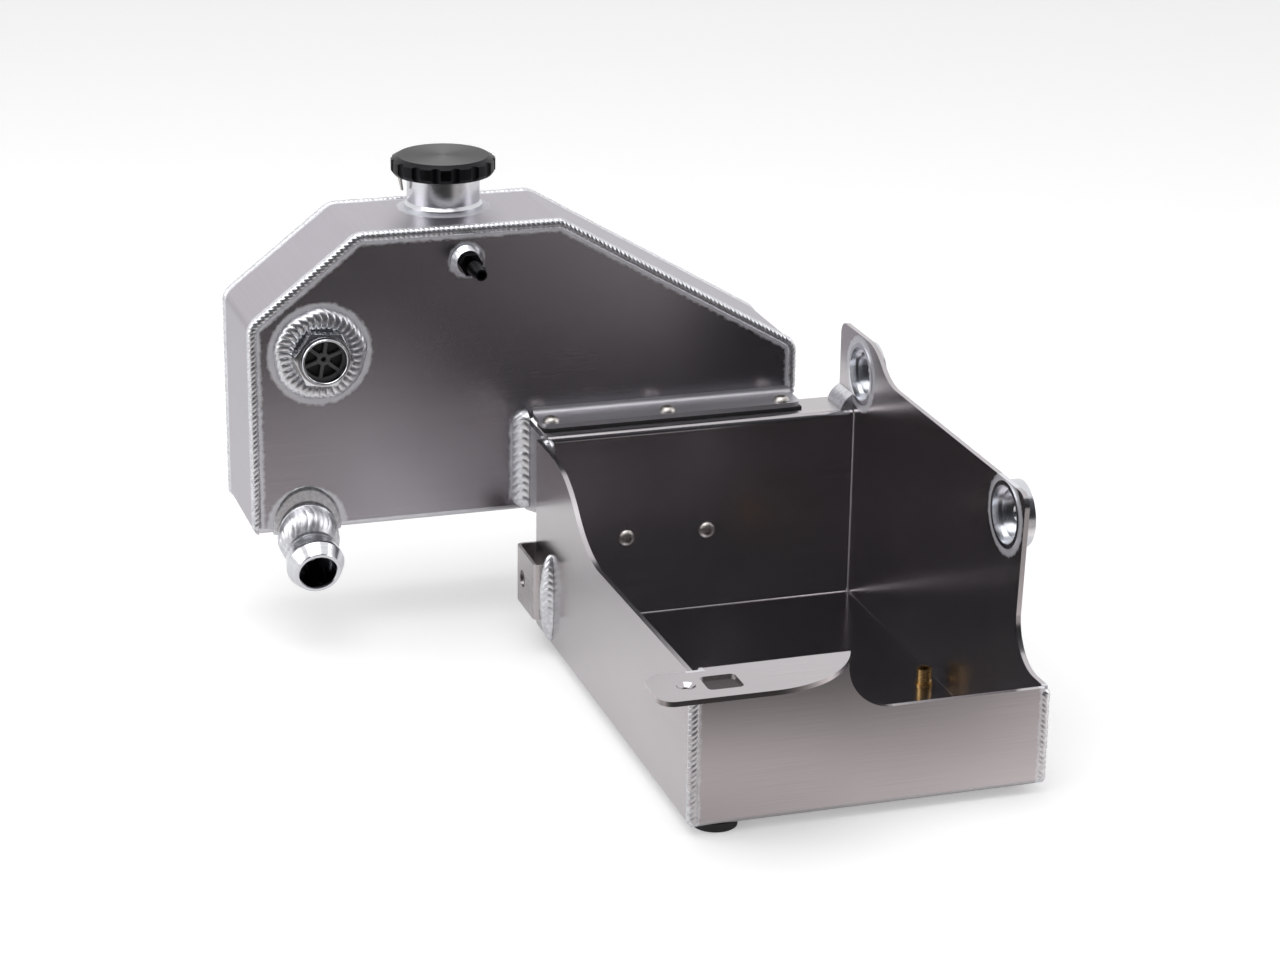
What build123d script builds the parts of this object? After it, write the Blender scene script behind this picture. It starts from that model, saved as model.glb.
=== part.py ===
from build123d import *
import os
from math import cos, radians, sin, sqrt

# Engine bay coolant tank, welded from folded sheet and bolted to the back of an open tray.
# Millimetres. +X runs along the tray's front, +Y towards the tank, +Z up.
# The origin is the middle of the underside of the front left floor pad.

# Sheet metal
sheet = 3.0
fold_radius = 4.0
fold_inner_radius = fold_radius - sheet

# Floor pads, the discs that the tray stands on
pad_radius = 13.0
pad_height = 5.0
pad_inset_x = 20.0
pad_inset_y = 15.0
rear_pad_inset_x = 20.0
rear_pad_inset_y = 16.0
right_pad_inset_y = 42.0

# Tray, heights above the underside of its floor
tray_width = 215.0
tray_depth = 309.0
front_wall_height = 97.3
front_low_height = 60.5
cutout_radius = 27.5
back_wall_height = 128.0
left_back_height = 126.5
left_low_height = 88.0
left_front_height = 92.5
left_curve_front = 175.0
left_curve_back = 275.0
right_wall_height = 162.5
right_front_top = 40.0
right_front_low = 44.0
right_low_height = front_low_height
right_nose_radius = 9.0
right_root_radius = 27.0
lug_height = 180.5
lug_back = 333.5
lug_tip_radius = 8.0
lug_curve_front = 238.0
lug_curve_back = 288.0
lip_depth = 28.0
lip_start = 7.0
lip_corner_radius = 6.0
corner_relief_radius = 1.8
seam_gap = 0.5

# Front flange, folded forward from the front wall
flange_depth = 41.0
flange_ear = 31.0
flange_ear_setback = 3.0
flange_ear_front_radius = 9.0
flange_ear_back_radius = 12.0
flange_relief = 4.0
flange_nose_start = 34.0
flange_nose_radius = 62.0
flange_hole_radius = 2.6
flange_hole_sink_radius = 5.4
flange_hole_sink_angle = 110.0
flange_hole_x = -11.0
flange_window_x = 9.4
flange_hole_y = 21.8
flange_window_width = 20.5
flange_window_depth = 18.5
flange_window_radius = 3.0

# Tank, seen from the front, distances from the tray's left and lower faces
tank_gap = 33.0
tank_depth = 82.0
tank_left = -174.0
tank_right = 184.0
tank_bottom = 68.0
tank_top = 258.0
tank_shoulder_left_height = 204.0
tank_shoulder_left_x = -105.0
tank_shoulder_right_height = 165.4
tank_shoulder_right_x = 26.3
tank_bend_radius = 12.0
tank_corner_radius = 4.0
step_x = 5.5

# Joint strip between tank and tray
strip_length = 173.5
strip_front_gap = 9.5
strip_fold_radius = 7.0
strip_corner_radius = 6.0
gasket_thickness = 1.5
strip_screw_count = 3
strip_screw_pitch = 77.2
strip_screw_margin = 7.1
strip_screw_setback = 6.0
gusset_rise = 8.5
gusset_top_gap = 1.0

# Weld beads
bead_radius = 3.4
bead_inset = 2.4
front_weld_lift = 0.5
step_bead_leg = 8.6
step_bead_bulge = 0.62
step_bead_cap_radius = 8.0
pad_weld_radius = 6.0
pad_weld_drop = 12.0
lug_weld_width = 8.0
lug_weld_height = 10.0
lug_weld_length = lug_back - tray_depth

# Radial gap between a piece and the hole that it is set in
fit_gap = 0.05

# Screws and nuts
screw_radius = 3.0
screw_head_radius = 5.3
screw_head_height = 3.1
screw_head_edge = 0.9
screw_head_flat = 2.9
screw_crown_lean = 0.5
screw_socket_flats = 4.0
screw_socket_depth = 1.9
nut_flats = 10.0
nut_height = 5.0
screw_hole_clearance = 0.3
screw_end = 1.5
wall_screw_height = 56.0
wall_screw_x = 59.0
wall_screw_pitch = 54.0

# Filler neck and cap
neck_x = -37.0
neck_back_gap = 29.0
neck_radius = 23.1
neck_bore_radius = 19.0
neck_height = 27.0
neck_foot_radius = 24.8
neck_foot_height = 4.5
neck_foot_round = 2.0
neck_flange_lobe_radius = 28.2
neck_flange_thickness = 2.2
neck_seat_radius = 13.5
neck_seat_height = 2.5
neck_notch_radius = 24.0
neck_notch_width = 14.0
neck_rib_drop = 7.0
neck_rib_height = 1.2
neck_rib_proud = 0.5
cap_radius = 33.0
cap_height = 11.5
cap_crown_radius = 28.8
cap_crown_drop = 2.4
cap_foot_radius = 31.2
cap_foot_rise = 2.4
cap_roof = 3.0
cap_flute_count = 16
cap_flute_radius = 4.6
cap_flute_depth = 1.5
cap_bottom = 22.0
plate_thickness = 1.2
plate_lobe_gap = 0.7
claw_width = 9.0
claw_gap = 0.4
claw_reach = 3.2
claw_tongue_drops = [11.0, 2.5]
claw_tongue_lean = 2.0
claw_tongue_tip = 3.0
seal_thickness = 1.8
seal_rim = 6.5
upper_seal_radius = 25.0
spring_wire_radius = 0.9
spring_radius = 9.5
spring_turns = 4.0
spring_end_gap = 0.2
plunger_radius = 17.0
plunger_stem_radius = 3.5

# Level port, a screwed hose connector in a welded boss
port_x = -130.0
port_z = 183.5
port_boss_radius = 20.8
port_boss_length = 5.0
port_hex_flats = 34.5
port_hex_length = 9.0
port_hex_turn = 20.0
port_hex_chamfer = 1.6
port_lip_radius = 16.0
port_lip_length = 4.5
port_bore_radius = 13.2
port_seat_radius = 13.5
port_passage_radius = 11.5
port_thread_radius = 16.0
port_thread_length = 6.0
port_lip_chamfer = 0.8
port_insert_depth = 7.0
port_insert_thickness = 3.0
port_insert_slot_count = 6
port_insert_slot_circle = 8.0
port_insert_slot_radius = 2.3
port_weld_radius = 28.0
port_weld_height = 4.2
port_weld_crown_height = 3.9
port_weld_shoulder_height = 2.3
port_weld_shoulder_inset = 1.7

# Vent bung and its hose nipple
vent_x = -36.0
vent_z = 237.0
vent_boss_radius = 10.5
vent_boss_length = 7.0
vent_boss_face_radius = 7.8
vent_boss_rim = 2.5
vent_hex_flats = 13.0
vent_hex_length = 6.0
vent_stem_radius = 3.6
vent_barb_radius = 4.7
vent_barb_pitch = 5.5
vent_barb_count = 3
vent_length = 36.0
vent_bore_radius = 2.4
vent_thread_radius = 5.0
vent_thread_length = 6.0

# Outlet, a hose spigot that leaves the tank's lower edge at an angle
outlet_x = -137.3
outlet_rise = 6.8
outlet_angle = 43.5
outlet_length = 37.0
outlet_root_radius = 15.5
outlet_root_depth = 8.0
outlet_bead_radius = 18.0
outlet_mouth_radius = 14.6
outlet_bore_radius = 11.8
outlet_bead_place = 17.0
outlet_weld_radius = 19.5
outlet_weld_height = 3.0
outlet_reach = 26.0
outlet_bead_width = 3.0
outlet_bead_rise = 4.5
outlet_lip_length = 2.0

# Cups for the fixing bolts in the tray's right wall
cup_radius = 20.0
cup_rim_proud = 0.6
cup_pocket_radius = 17.3
cup_step_radius = 14.5
cup_step_depth = 3.0
cup_pocket_depth = 5.0
cup_floor = 3.0
cup_hole_radius = 5.0
rear_cup_y = 297.5
rear_cup_z = 155.2
front_cup_y = 66.5
front_cup_z = 141.8

# Clip on the tray's left wall
clip_sheet = 2.0
clip_offset = 11.0
clip_setback = 33.0
clip_length = 41.0
clip_bottom = 18.5
clip_height = 37.0
clip_bend_radius = 4.0
clip_hole_radius = 5.5
clip_hole_setback = 7.0
clip_back_reach = 17.0
clip_weld_leg = 6.0
clip_weld_bottom = 4.0
clip_weld_top = 62.0

# Drain fitting in the tray floor
drain_inset = 14.0
drain_y = 148.0
drain_radius = 4.8
drain_height = 10.6
drain_bore_radius = 2.7
drain_flange_radius = 5.6
drain_flange_height = 1.4
drain_thread_radius = 4.0
drain_nut_flats = 14.0
drain_nut_height = 3.2
drain_thread_end = 1.0

# Places that follow from the sizes
left = -pad_inset_x
front = -pad_inset_y
base = pad_height
right = left + tray_width
back = front + tray_depth
floor_top = base + sheet
inner_left = left + sheet
inner_right = right - sheet
inner_back = back - sheet
lip_top = base + back_wall_height
strip_bottom = lip_top + gasket_thickness
strip_top = strip_bottom + sheet
tank_front = back + tank_gap
tank_back = tank_front + tank_depth
tank_inner_front = tank_front + sheet
tank_inner_back = tank_back - sheet
tank_floor = base + tank_bottom
tank_roof = base + tank_top
neck_y = tank_back - neck_back_gap
cap_floor = tank_roof + cap_bottom
cap_top = cap_floor + cap_height
plate_top = cap_top - cap_roof
plate_rim_radius = neck_flange_lobe_radius + plate_lobe_gap
cover_pocket_radius = plate_rim_radius + plate_thickness
flange_top = base + front_wall_height
screw_hole_radius = screw_radius + screw_hole_clearance
step_left = left + step_x - sheet
strip_start = left + lip_start
strip_front = back + strip_front_gap
strip_screw_line = strip_front + strip_screw_setback
first_strip_screw = strip_start + strip_screw_margin


def tank_points():
    """Corners of the tank's outer outline, seen from the front, from the lower left and clockwise."""
    return [
        (left + tank_left, tank_floor),
        (left + tank_left, base + tank_shoulder_left_height),
        (left + tank_shoulder_left_x, tank_roof),
        (left + tank_shoulder_right_x, tank_roof),
        (left + tank_right, base + tank_shoulder_right_height),
        (left + tank_right, strip_bottom),
        (left + step_x, strip_bottom),
        (left + step_x, tank_floor),
    ]


tank_corner_radii = [
    tank_corner_radius,
    tank_bend_radius,
    tank_bend_radius,
    tank_bend_radius,
    tank_bend_radius,
    tank_corner_radius,
    tank_corner_radius,
    tank_corner_radius,
]


port_plane = Plane(origin=(left + port_x, tank_front, base + port_z), x_dir=(1, 0, 0), z_dir=(0, -1, 0))
vent_plane = Plane(origin=(left + vent_x, tank_front, base + vent_z), x_dir=(1, 0, 0), z_dir=(0, -1, 0))
outlet_plane = Plane(
    origin=(left + outlet_x, tank_front, tank_floor + outlet_rise),
    x_dir=(1, 0, 0),
    z_dir=(0, -cos(radians(outlet_angle)), -sin(radians(outlet_angle))),
)
neck_plane = Plane(origin=(left + neck_x, neck_y, tank_roof))
drain_plane = Plane(origin=(right - drain_inset, front + drain_y, floor_top))


def draw_tank_outline():
    """Draw the tank's outer outline into the open sketch."""
    with BuildLine() as outline:
        FilletPolyline(*tank_points(), radius=tank_corner_radii, close=True)
    make_face(outline.edges())


def draw_bend(corner, side_u, side_v, radius=fold_radius):
    """Draw a folded sheet's bend into the open sketch: outer corner, signs of its two legs, outer radius."""
    u, v = corner
    with Locations((u + side_u * radius, v + side_v * radius)):
        Circle(radius)
        Circle(radius - sheet, mode=Mode.SUBTRACT)
    with Locations((u + side_u * radius / 2, v + side_v * radius / 2)):
        Rectangle(radius, radius, mode=Mode.INTERSECT)


def draw_bead():
    """Draw the section of a corner weld, a round bead that fills the open corner between two sheets."""
    with Locations((-bead_inset, bead_inset)):
        Circle(bead_radius)
    span = sheet + bead_radius
    with Locations(((bead_radius - sheet) / 2, (sheet - bead_radius) / 2)):
        Rectangle(span, span, mode=Mode.INTERSECT)


def turned(plane, profile):
    """Turned piece on a plane's axis from its closed profile of radius and height points."""
    with BuildPart() as piece:
        with BuildSketch(Plane.XZ):
            with BuildLine():
                Polyline(*profile, close=True)
            make_face()
        revolve(axis=Axis.Z)
    return plane.location * piece.part


def button_screw(plane, grip):
    """Button head screw seated on a plane, its shank pointing against the plane's normal."""
    with BuildPart() as screw:
        with BuildSketch(Plane.XZ):
            with BuildLine():
                Polyline((0, screw_head_height), (0, 0), (screw_head_radius, 0), (screw_head_radius, screw_head_edge))
                crown = TangentArc(
                    (screw_head_radius, screw_head_edge),
                    (screw_head_flat, screw_head_height),
                    tangent=(-screw_crown_lean, 1),
                )
                Line(crown @ 1, (0, screw_head_height))
            make_face()
        revolve(axis=Axis.Z)
        with BuildSketch(Plane.XY):
            Circle(screw_radius)
        extrude(amount=-(grip + nut_height + screw_end))
        with BuildSketch(Plane.XY.offset(screw_head_height)):
            RegularPolygon(screw_socket_flats / 2, 6, major_radius=False)
        extrude(amount=-screw_socket_depth, mode=Mode.SUBTRACT)
    return plane.location * screw.part


def hex_nut(plane, flats, height, bore):
    """Hexagonal nut that stands on a plane."""
    with BuildPart() as nut:
        with BuildSketch(Plane.XY):
            RegularPolygon(flats / 2, 6, major_radius=False)
            Circle(bore, mode=Mode.SUBTRACT)
        extrude(amount=height)
    return plane.location * nut.part


strip_screw_places = [
    (first_strip_screw + i * strip_screw_pitch, strip_screw_line) for i in range(strip_screw_count)
]
first_wall_screw = left + wall_screw_x
wall_screw_z = base + wall_screw_height
wall_screw_places = [(first_wall_screw, wall_screw_z), (first_wall_screw + wall_screw_pitch, wall_screw_z)]
rear_cup_place = (front + rear_cup_y, base + rear_cup_z)
front_cup_place = (front + front_cup_y, base + front_cup_z)

# Front perimeter weld: up the right edge, over the top and down the left edge
with BuildPart() as front_weld:
    corners = tank_points()
    front_path_points = [
        (corners[5][0], strip_top + front_weld_lift),
        corners[4],
        corners[3],
        corners[2],
        corners[1],
        (corners[0][0], tank_floor + fold_radius),
    ]
    with BuildLine(Plane.XZ.offset(-tank_front)) as front_path:
        FilletPolyline(*front_path_points, radius=tank_bend_radius)
    with BuildSketch(Plane(origin=front_path.line @ 0, x_dir=(1, 0, 0), z_dir=(0, 0, 1))):
        draw_bead()
    sweep(path=front_path.line)

# Back perimeter weld: all round the back panel
with BuildPart() as back_weld:
    with BuildLine(Plane.XZ.offset(-tank_back)) as back_path:
        FilletPolyline(*tank_points(), radius=tank_corner_radii, close=True)
    along = back_path.line % 0
    with BuildSketch(Plane(origin=back_path.line @ 0, x_dir=along.cross(Vector(0, 1, 0)), z_dir=along)):
        draw_bead()
    sweep(path=back_path.line)

# Tray corner welds at the front
with BuildPart() as front_left_weld:
    with BuildSketch(Plane(origin=(left, front, base + left_front_height), x_dir=(-1, 0, 0), z_dir=(0, 0, -1))):
        draw_bead()
    extrude(amount=left_front_height - fold_radius)

with BuildPart() as front_right_weld:
    with BuildSketch(Plane(origin=(right, front, base + fold_radius), x_dir=(1, 0, 0), z_dir=(0, 0, 1))):
        draw_bead()
    extrude(amount=right_low_height - fold_radius)

# Step panel: upright side of the step, folded to run under the tank's right part,
# with a gusset that reaches forward to the tray's back wall
inner_depth = tank_depth - 2 * sheet
with BuildPart() as tank_step_panel:
    with BuildSketch(Plane.XZ.offset(-tank_inner_front)):
        draw_tank_outline()
        offset(amount=-sheet, mode=Mode.SUBTRACT)
        with Locations((step_left, tank_floor)):
            Rectangle(
                left + tank_right - sheet - step_left,
                strip_top - tank_floor,
                align=(Align.MIN, Align.MIN),
                mode=Mode.INTERSECT,
            )
    extrude(amount=-inner_depth)
    with BuildSketch(Plane.YZ.offset(step_left)):
        with BuildLine():
            Polyline(
                (back, tank_floor + gusset_rise),
                (tank_front, tank_floor),
                (tank_inner_front, tank_floor),
                (tank_inner_front, strip_bottom - gusset_top_gap),
                (back, strip_bottom - gusset_top_gap),
                close=True,
            )
        make_face()
    extrude(amount=sheet)
    add(back_weld.part, mode=Mode.SUBTRACT)

# Tank front panel: the upright part of the front sheet
bottom_start = left + tank_left + sheet
bottom_width = step_left - bottom_start
with BuildPart() as tank_front_panel:
    with BuildSketch(Plane.XZ.offset(-tank_front)):
        draw_tank_outline()
        with Locations((step_left, strip_bottom)):
            Rectangle(tray_width, tank_top, align=(Align.MIN, Align.MAX), mode=Mode.SUBTRACT)
        with Locations((left + tank_left, tank_floor)):
            Rectangle(bottom_width + sheet, fold_radius, align=(Align.MIN, Align.MIN), mode=Mode.SUBTRACT)
        with Locations((strip_start, strip_bottom)):
            Rectangle(strip_length, strip_fold_radius, align=(Align.MIN, Align.MIN), mode=Mode.SUBTRACT)
    extrude(amount=-sheet)
    # openings for the level port, the vent and the outlet
    with BuildSketch(Plane.XZ.offset(-tank_front)):
        with Locations((left + port_x, base + port_z)):
            Circle(port_thread_radius + screw_hole_clearance)
        with Locations((left + vent_x, base + vent_z)):
            Circle(vent_thread_radius + screw_hole_clearance)
    extrude(amount=-sheet, mode=Mode.SUBTRACT)
    with BuildSketch(outlet_plane.offset(-outlet_root_depth)):
        Circle(outlet_root_radius + fit_gap)
    extrude(amount=outlet_root_depth + outlet_bead_place, mode=Mode.SUBTRACT)
    add(front_weld.part, mode=Mode.SUBTRACT)
    add(back_weld.part, mode=Mode.SUBTRACT)

# Tank bottom: the part of the front sheet that is folded back under the tank's left half
with BuildPart() as tank_bottom_panel:
    with BuildSketch(Plane.YZ.offset(bottom_start)):
        draw_bend((tank_front, tank_floor), 1, 1)
        with Locations((tank_front + fold_radius, tank_floor)):
            Rectangle(tank_depth - sheet - fold_radius, sheet, align=(Align.MIN, Align.MIN))
    extrude(amount=bottom_width)
    # lower left corner, below the front weld
    with BuildSketch(Plane.XZ.offset(-tank_front)):
        draw_tank_outline()
        with Locations((left + tank_left, tank_floor)):
            Rectangle(sheet, fold_radius, align=(Align.MIN, Align.MIN), mode=Mode.INTERSECT)
    extrude(amount=-sheet)
    with BuildSketch(outlet_plane.offset(-outlet_root_depth)):
        Circle(outlet_root_radius + fit_gap)
    extrude(amount=outlet_root_depth + outlet_bead_place, mode=Mode.SUBTRACT)
    add(front_weld.part, mode=Mode.SUBTRACT)
    add(back_weld.part, mode=Mode.SUBTRACT)

# Joint strip: the part of the front sheet that is folded forward over the tray's lip
with BuildPart() as joint_strip:
    with BuildSketch(Plane.YZ.offset(strip_start)):
        draw_bend((tank_inner_front, strip_bottom), -1, 1, strip_fold_radius)
    extrude(amount=strip_length)
    with BuildSketch(Plane.XY.offset(strip_bottom)) as strip_plan:
        with Locations((strip_start, strip_front)):
            Rectangle(
                strip_length,
                tank_inner_front - strip_fold_radius - strip_front,
                align=(Align.MIN, Align.MIN),
            )
        fillet(strip_plan.vertices().group_by(Axis.Y)[0], strip_corner_radius)
        with Locations(*strip_screw_places):
            Circle(screw_hole_radius, mode=Mode.SUBTRACT)
    extrude(amount=sheet)
    add(front_weld.part, mode=Mode.SUBTRACT)

# Tank back panel: flat sheet with the full stepped outline
with BuildPart() as tank_back_panel:
    with BuildSketch(Plane.XZ.offset(-tank_inner_back)):
        draw_tank_outline()
    extrude(amount=-sheet)
    add(back_weld.part, mode=Mode.SUBTRACT)

# Tank wrap: one strip bent round the left side, both slopes, the top and the right side;
# the bottom and the step belong to the front panel and the step panel
with BuildPart() as tank_wrap:
    with BuildSketch(Plane.XZ.offset(-tank_inner_front)):
        draw_tank_outline()
        offset(amount=-sheet, mode=Mode.SUBTRACT)
        with Locations((bottom_start, tank_floor)):
            Rectangle(tray_width, fold_radius, align=(Align.MIN, Align.MIN), mode=Mode.SUBTRACT)
        with Locations((step_left, tank_floor)):
            Rectangle(
                left + tank_right - sheet - step_left,
                strip_top + fold_inner_radius - tank_floor,
                align=(Align.MIN, Align.MIN),
                mode=Mode.SUBTRACT,
            )
    extrude(amount=-inner_depth)
    with BuildSketch(neck_plane):
        Circle(neck_radius + fit_gap)
    extrude(amount=-2 * sheet, mode=Mode.SUBTRACT)
    add(front_weld.part, mode=Mode.SUBTRACT)
    add(back_weld.part, mode=Mode.SUBTRACT)

# Tray sheet: one sheet folded into a floor, four walls, a rear lip and a front flange;
# its panels are cut from it further down
with BuildPart() as tray_sheet:
    with BuildSketch(Plane.XY.offset(base)):
        with Locations((left, front)):
            Rectangle(tray_width, tray_depth, align=(Align.MIN, Align.MIN))
    extrude(amount=sheet)
    # left wall, stepping down to the front in a long double curve
    curve_back = (front + left_curve_back, base + left_back_height)
    curve_front = (front + left_curve_front, base + left_low_height)
    curve_middle = (Vector(*curve_back) + Vector(*curve_front)) / 2
    with BuildSketch(Plane.YZ.offset(left)):
        with BuildLine():
            Polyline(
                curve_back,
                (back, base + left_back_height),
                (back, base),
                (front, base),
                (front, base + left_front_height),
                curve_front,
            )
            TangentArc(curve_front, curve_middle, tangent=(1, 0))
            TangentArc(curve_back, curve_middle, tangent=(-1, 0))
        make_face()
    extrude(amount=sheet)
    # right wall, low at the front, with a lug that carries the rear cup
    root_start = (front + right_front_low - right_root_radius, base + right_low_height)
    root_end = (front + right_front_low, base + right_low_height + right_root_radius)
    nose_foot = (front + right_front_top, base + right_wall_height - right_nose_radius)
    nose_head = (front + right_front_top + right_nose_radius, base + right_wall_height)
    lug_foot = (front + lug_curve_front, base + right_wall_height)
    lug_head = (front + lug_curve_back, base + lug_height)
    lug_middle = (Vector(*lug_foot) + Vector(*lug_head)) / 2
    lug_edge = front + lug_back
    tip_start = (lug_edge - lug_tip_radius, base + lug_height)
    tip_end = (lug_edge, base + lug_height - lug_tip_radius)
    with BuildSketch(Plane.YZ.offset(inner_right)):
        with BuildLine():
            Polyline(
                tip_end,
                (lug_edge, lip_top - sheet),
                (back, lip_top - sheet),
                (back, base),
                (front, base),
                (front, base + right_low_height),
                root_start,
            )
            TangentArc(root_start, root_end, tangent=(1, 0))
            Line(root_end, nose_foot)
            TangentArc(nose_foot, nose_head, tangent=(0, 1))
            Line(nose_head, lug_foot)
            TangentArc(lug_foot, lug_middle, tangent=(1, 0))
            TangentArc(lug_head, lug_middle, tangent=(-1, 0))
            Line(lug_head, tip_start)
            TangentArc(tip_start, tip_end, tangent=(1, 0))
        make_face()
        with Locations(rear_cup_place, front_cup_place):
            Circle(cup_radius + fit_gap, mode=Mode.SUBTRACT)
    extrude(amount=sheet)
    # back wall with its lip folded away from the tray
    with BuildSketch(Plane.XZ.offset(-inner_back)):
        with Locations((left + lip_start, base)):
            Rectangle(tray_width - lip_start, back_wall_height - fold_radius, align=(Align.MIN, Align.MIN))
        with Locations((left, base)):
            Rectangle(lip_start, left_back_height, align=(Align.MIN, Align.MIN))
    extrude(amount=-sheet)
    lip_length = tray_width - lip_start - sheet
    with BuildSketch(Plane.YZ.offset(left + lip_start)):
        draw_bend((inner_back, lip_top), 1, -1)
    extrude(amount=lip_length)
    with BuildSketch(Plane.XY.offset(lip_top)) as lip_plan:
        with Locations((left + lip_start, back + fold_inner_radius)):
            Rectangle(lip_length, lip_depth - fold_inner_radius, align=(Align.MIN, Align.MIN))
        fillet(lip_plan.vertices().group_by(Axis.X)[0].sort_by(Axis.Y)[-1], lip_corner_radius)
        with Locations(*strip_screw_places):
            Circle(screw_hole_radius, mode=Mode.SUBTRACT)
    extrude(amount=-sheet)
    # front wall with its cut-out, and the flange folded forward from its high part
    nose_start = (left + flange_nose_start, front - flange_depth)
    nose_drop = flange_nose_radius - flange_depth + fold_inner_radius
    nose_end = (nose_start[0] + sqrt(flange_nose_radius**2 - nose_drop**2), front - fold_inner_radius)
    cutout_start = (nose_end[0], base + front_low_height + cutout_radius)
    cutout_end = (nose_end[0] + cutout_radius, base + front_low_height)
    relief = left + flange_relief
    with BuildSketch(Plane.XZ.offset(-front)):
        with BuildLine():
            Polyline(
                cutout_end,
                (right, base + front_low_height),
                (right, base),
                (left, base),
                (left, base + left_front_height),
                (relief, base + left_front_height),
                (relief, flange_top - fold_radius),
                (nose_end[0], flange_top - fold_radius),
                cutout_start,
            )
            TangentArc(cutout_start, cutout_end, tangent=(0, -1))
        make_face()
    extrude(amount=-sheet)
    with BuildSketch(Plane.YZ.offset(relief)):
        draw_bend((front + sheet, flange_top), -1, -1)
    extrude(amount=nose_end[0] - relief)
    with BuildSketch(Plane.XY.offset(flange_top)):
        with BuildLine():
            FilletPolyline(
                nose_start,
                (left - flange_ear, front - flange_depth),
                (left - flange_ear, front - flange_ear_setback),
                (relief, front - flange_ear_setback),
                radius=[flange_ear_front_radius, flange_ear_back_radius],
            )
            Polyline((relief, front - flange_ear_setback), (relief, nose_end[1]), nose_end)
            TangentArc(nose_start, nose_end, tangent=(1, 0))
        make_face()
        with Locations((left + flange_window_x, front - flange_hole_y)):
            RectangleRounded(
                flange_window_width,
                flange_window_depth,
                flange_window_radius,
                mode=Mode.SUBTRACT,
            )
    extrude(amount=-sheet)
    with Locations((left + flange_hole_x, front - flange_hole_y, flange_top)):
        CounterSinkHole(
            flange_hole_radius,
            flange_hole_sink_radius,
            depth=sheet,
            counter_sink_angle=flange_hole_sink_angle,
        )
    # folds between the floor and the walls
    fillet(tray_sheet.edges().group_by(Axis.Z)[0], fold_radius)
    fillet(
        tray_sheet.edges().filter_by_position(Axis.Z, floor_top - fit_gap, floor_top + fit_gap),
        fold_inner_radius,
    )
    # open seams in the rear corners, each ending in a round relief in the floor
    with BuildSketch(Plane.XY.offset(floor_top)):
        with Locations((inner_left, inner_back)):
            Rectangle(seam_gap, sheet, align=(Align.MIN, Align.MIN))
        with Locations((inner_right, inner_back)):
            Rectangle(seam_gap, sheet + lip_depth, align=(Align.MAX, Align.MIN))
    extrude(amount=lip_top - floor_top, mode=Mode.SUBTRACT)
    with BuildSketch(Plane.XY.offset(base)):
        with Locations((inner_left, inner_back), (inner_right, inner_back)):
            Circle(corner_relief_radius)
        with Locations((right - drain_inset, front + drain_y)):
            Circle(drain_thread_radius + screw_hole_clearance)
    extrude(amount=sheet + corner_relief_radius, mode=Mode.SUBTRACT)
    with BuildSketch(Plane.XZ.offset(-inner_back)):
        with Locations(*wall_screw_places):
            Circle(screw_hole_radius)
    extrude(amount=-sheet, mode=Mode.SUBTRACT)
    # the open corners at the front are filled by their welds, up to a fine seam inside
    with BuildSketch(Plane.XY.offset(base + fold_radius)):
        with Locations((inner_left, front + sheet), (inner_right, front + sheet)):
            Rectangle(seam_gap, seam_gap)
    extrude(amount=left_front_height, mode=Mode.SUBTRACT)
    add(front_left_weld.part, mode=Mode.SUBTRACT)
    add(front_right_weld.part, mode=Mode.SUBTRACT)

# Heights at which the tray's folds end and its panels begin
floor_fold_end = base + fold_radius
lip_fold_start = lip_top - fold_radius
flange_fold_start = flange_top - fold_radius


def cut_panel(low, high):
    """The part of the tray sheet between two opposite corners of a box."""
    size = Vector(*high) - Vector(*low)
    with BuildPart() as panel:
        add(tray_sheet.part)
        with Locations(low):
            Box(
                size.X,
                size.Y,
                size.Z,
                align=(Align.MIN, Align.MIN, Align.MIN),
                mode=Mode.INTERSECT,
            )
    return panel


# Tray panels: the floor with its folds, then the walls, the rear lip and the front flange
tray_floor = cut_panel((left, front, base), (right, back, floor_fold_end))
tray_left_wall = cut_panel((left, front, floor_fold_end), (inner_left, back, base + left_back_height))
tray_right_wall = cut_panel((inner_right, front, floor_fold_end), (right, front + lug_back, base + lug_height))
tray_front_wall = cut_panel((inner_left, front, floor_fold_end), (inner_right, front + sheet, flange_fold_start))
tray_flange = cut_panel(
    (left - flange_ear, front - flange_depth, flange_fold_start),
    (right, front + sheet, flange_top),
)
tray_lip = cut_panel((strip_start, inner_back, lip_fold_start), (inner_right, back + lip_depth, lip_top))

with BuildPart() as tray_back_wall:
    add(tray_sheet.part)
    with Locations((inner_left, inner_back, floor_fold_end)):
        Box(
            inner_right - inner_left,
            sheet,
            left_back_height - fold_radius,
            align=(Align.MIN, Align.MIN, Align.MIN),
            mode=Mode.INTERSECT,
        )
    with Locations((strip_start, inner_back, lip_fold_start)):
        Box(
            tray_width,
            sheet,
            left_back_height,
            align=(Align.MIN, Align.MIN, Align.MIN),
            mode=Mode.SUBTRACT,
        )

# Rear corner welds: a pad across the left corner and a bead between lip and lug
with BuildPart() as back_left_weld:
    with BuildSketch(Plane.XY.offset(base + left_back_height - pad_weld_drop - pad_weld_radius)):
        with Locations((inner_left, inner_back)):
            Circle(pad_weld_radius)
    extrude(amount=pad_weld_drop)
    with Locations((inner_left, inner_back, base + left_back_height - pad_weld_radius)):
        Sphere(pad_weld_radius)
    with Locations((inner_left, inner_back, base + left_back_height - pad_weld_radius - pad_weld_drop)):
        Sphere(pad_weld_radius)
    with Locations((left, back, base)):
        Box(
            tray_width,
            tray_depth,
            left_back_height,
            align=(Align.MIN, Align.MAX, Align.MIN),
            mode=Mode.INTERSECT,
        )
    add(tray_sheet.part, mode=Mode.SUBTRACT)

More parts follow.
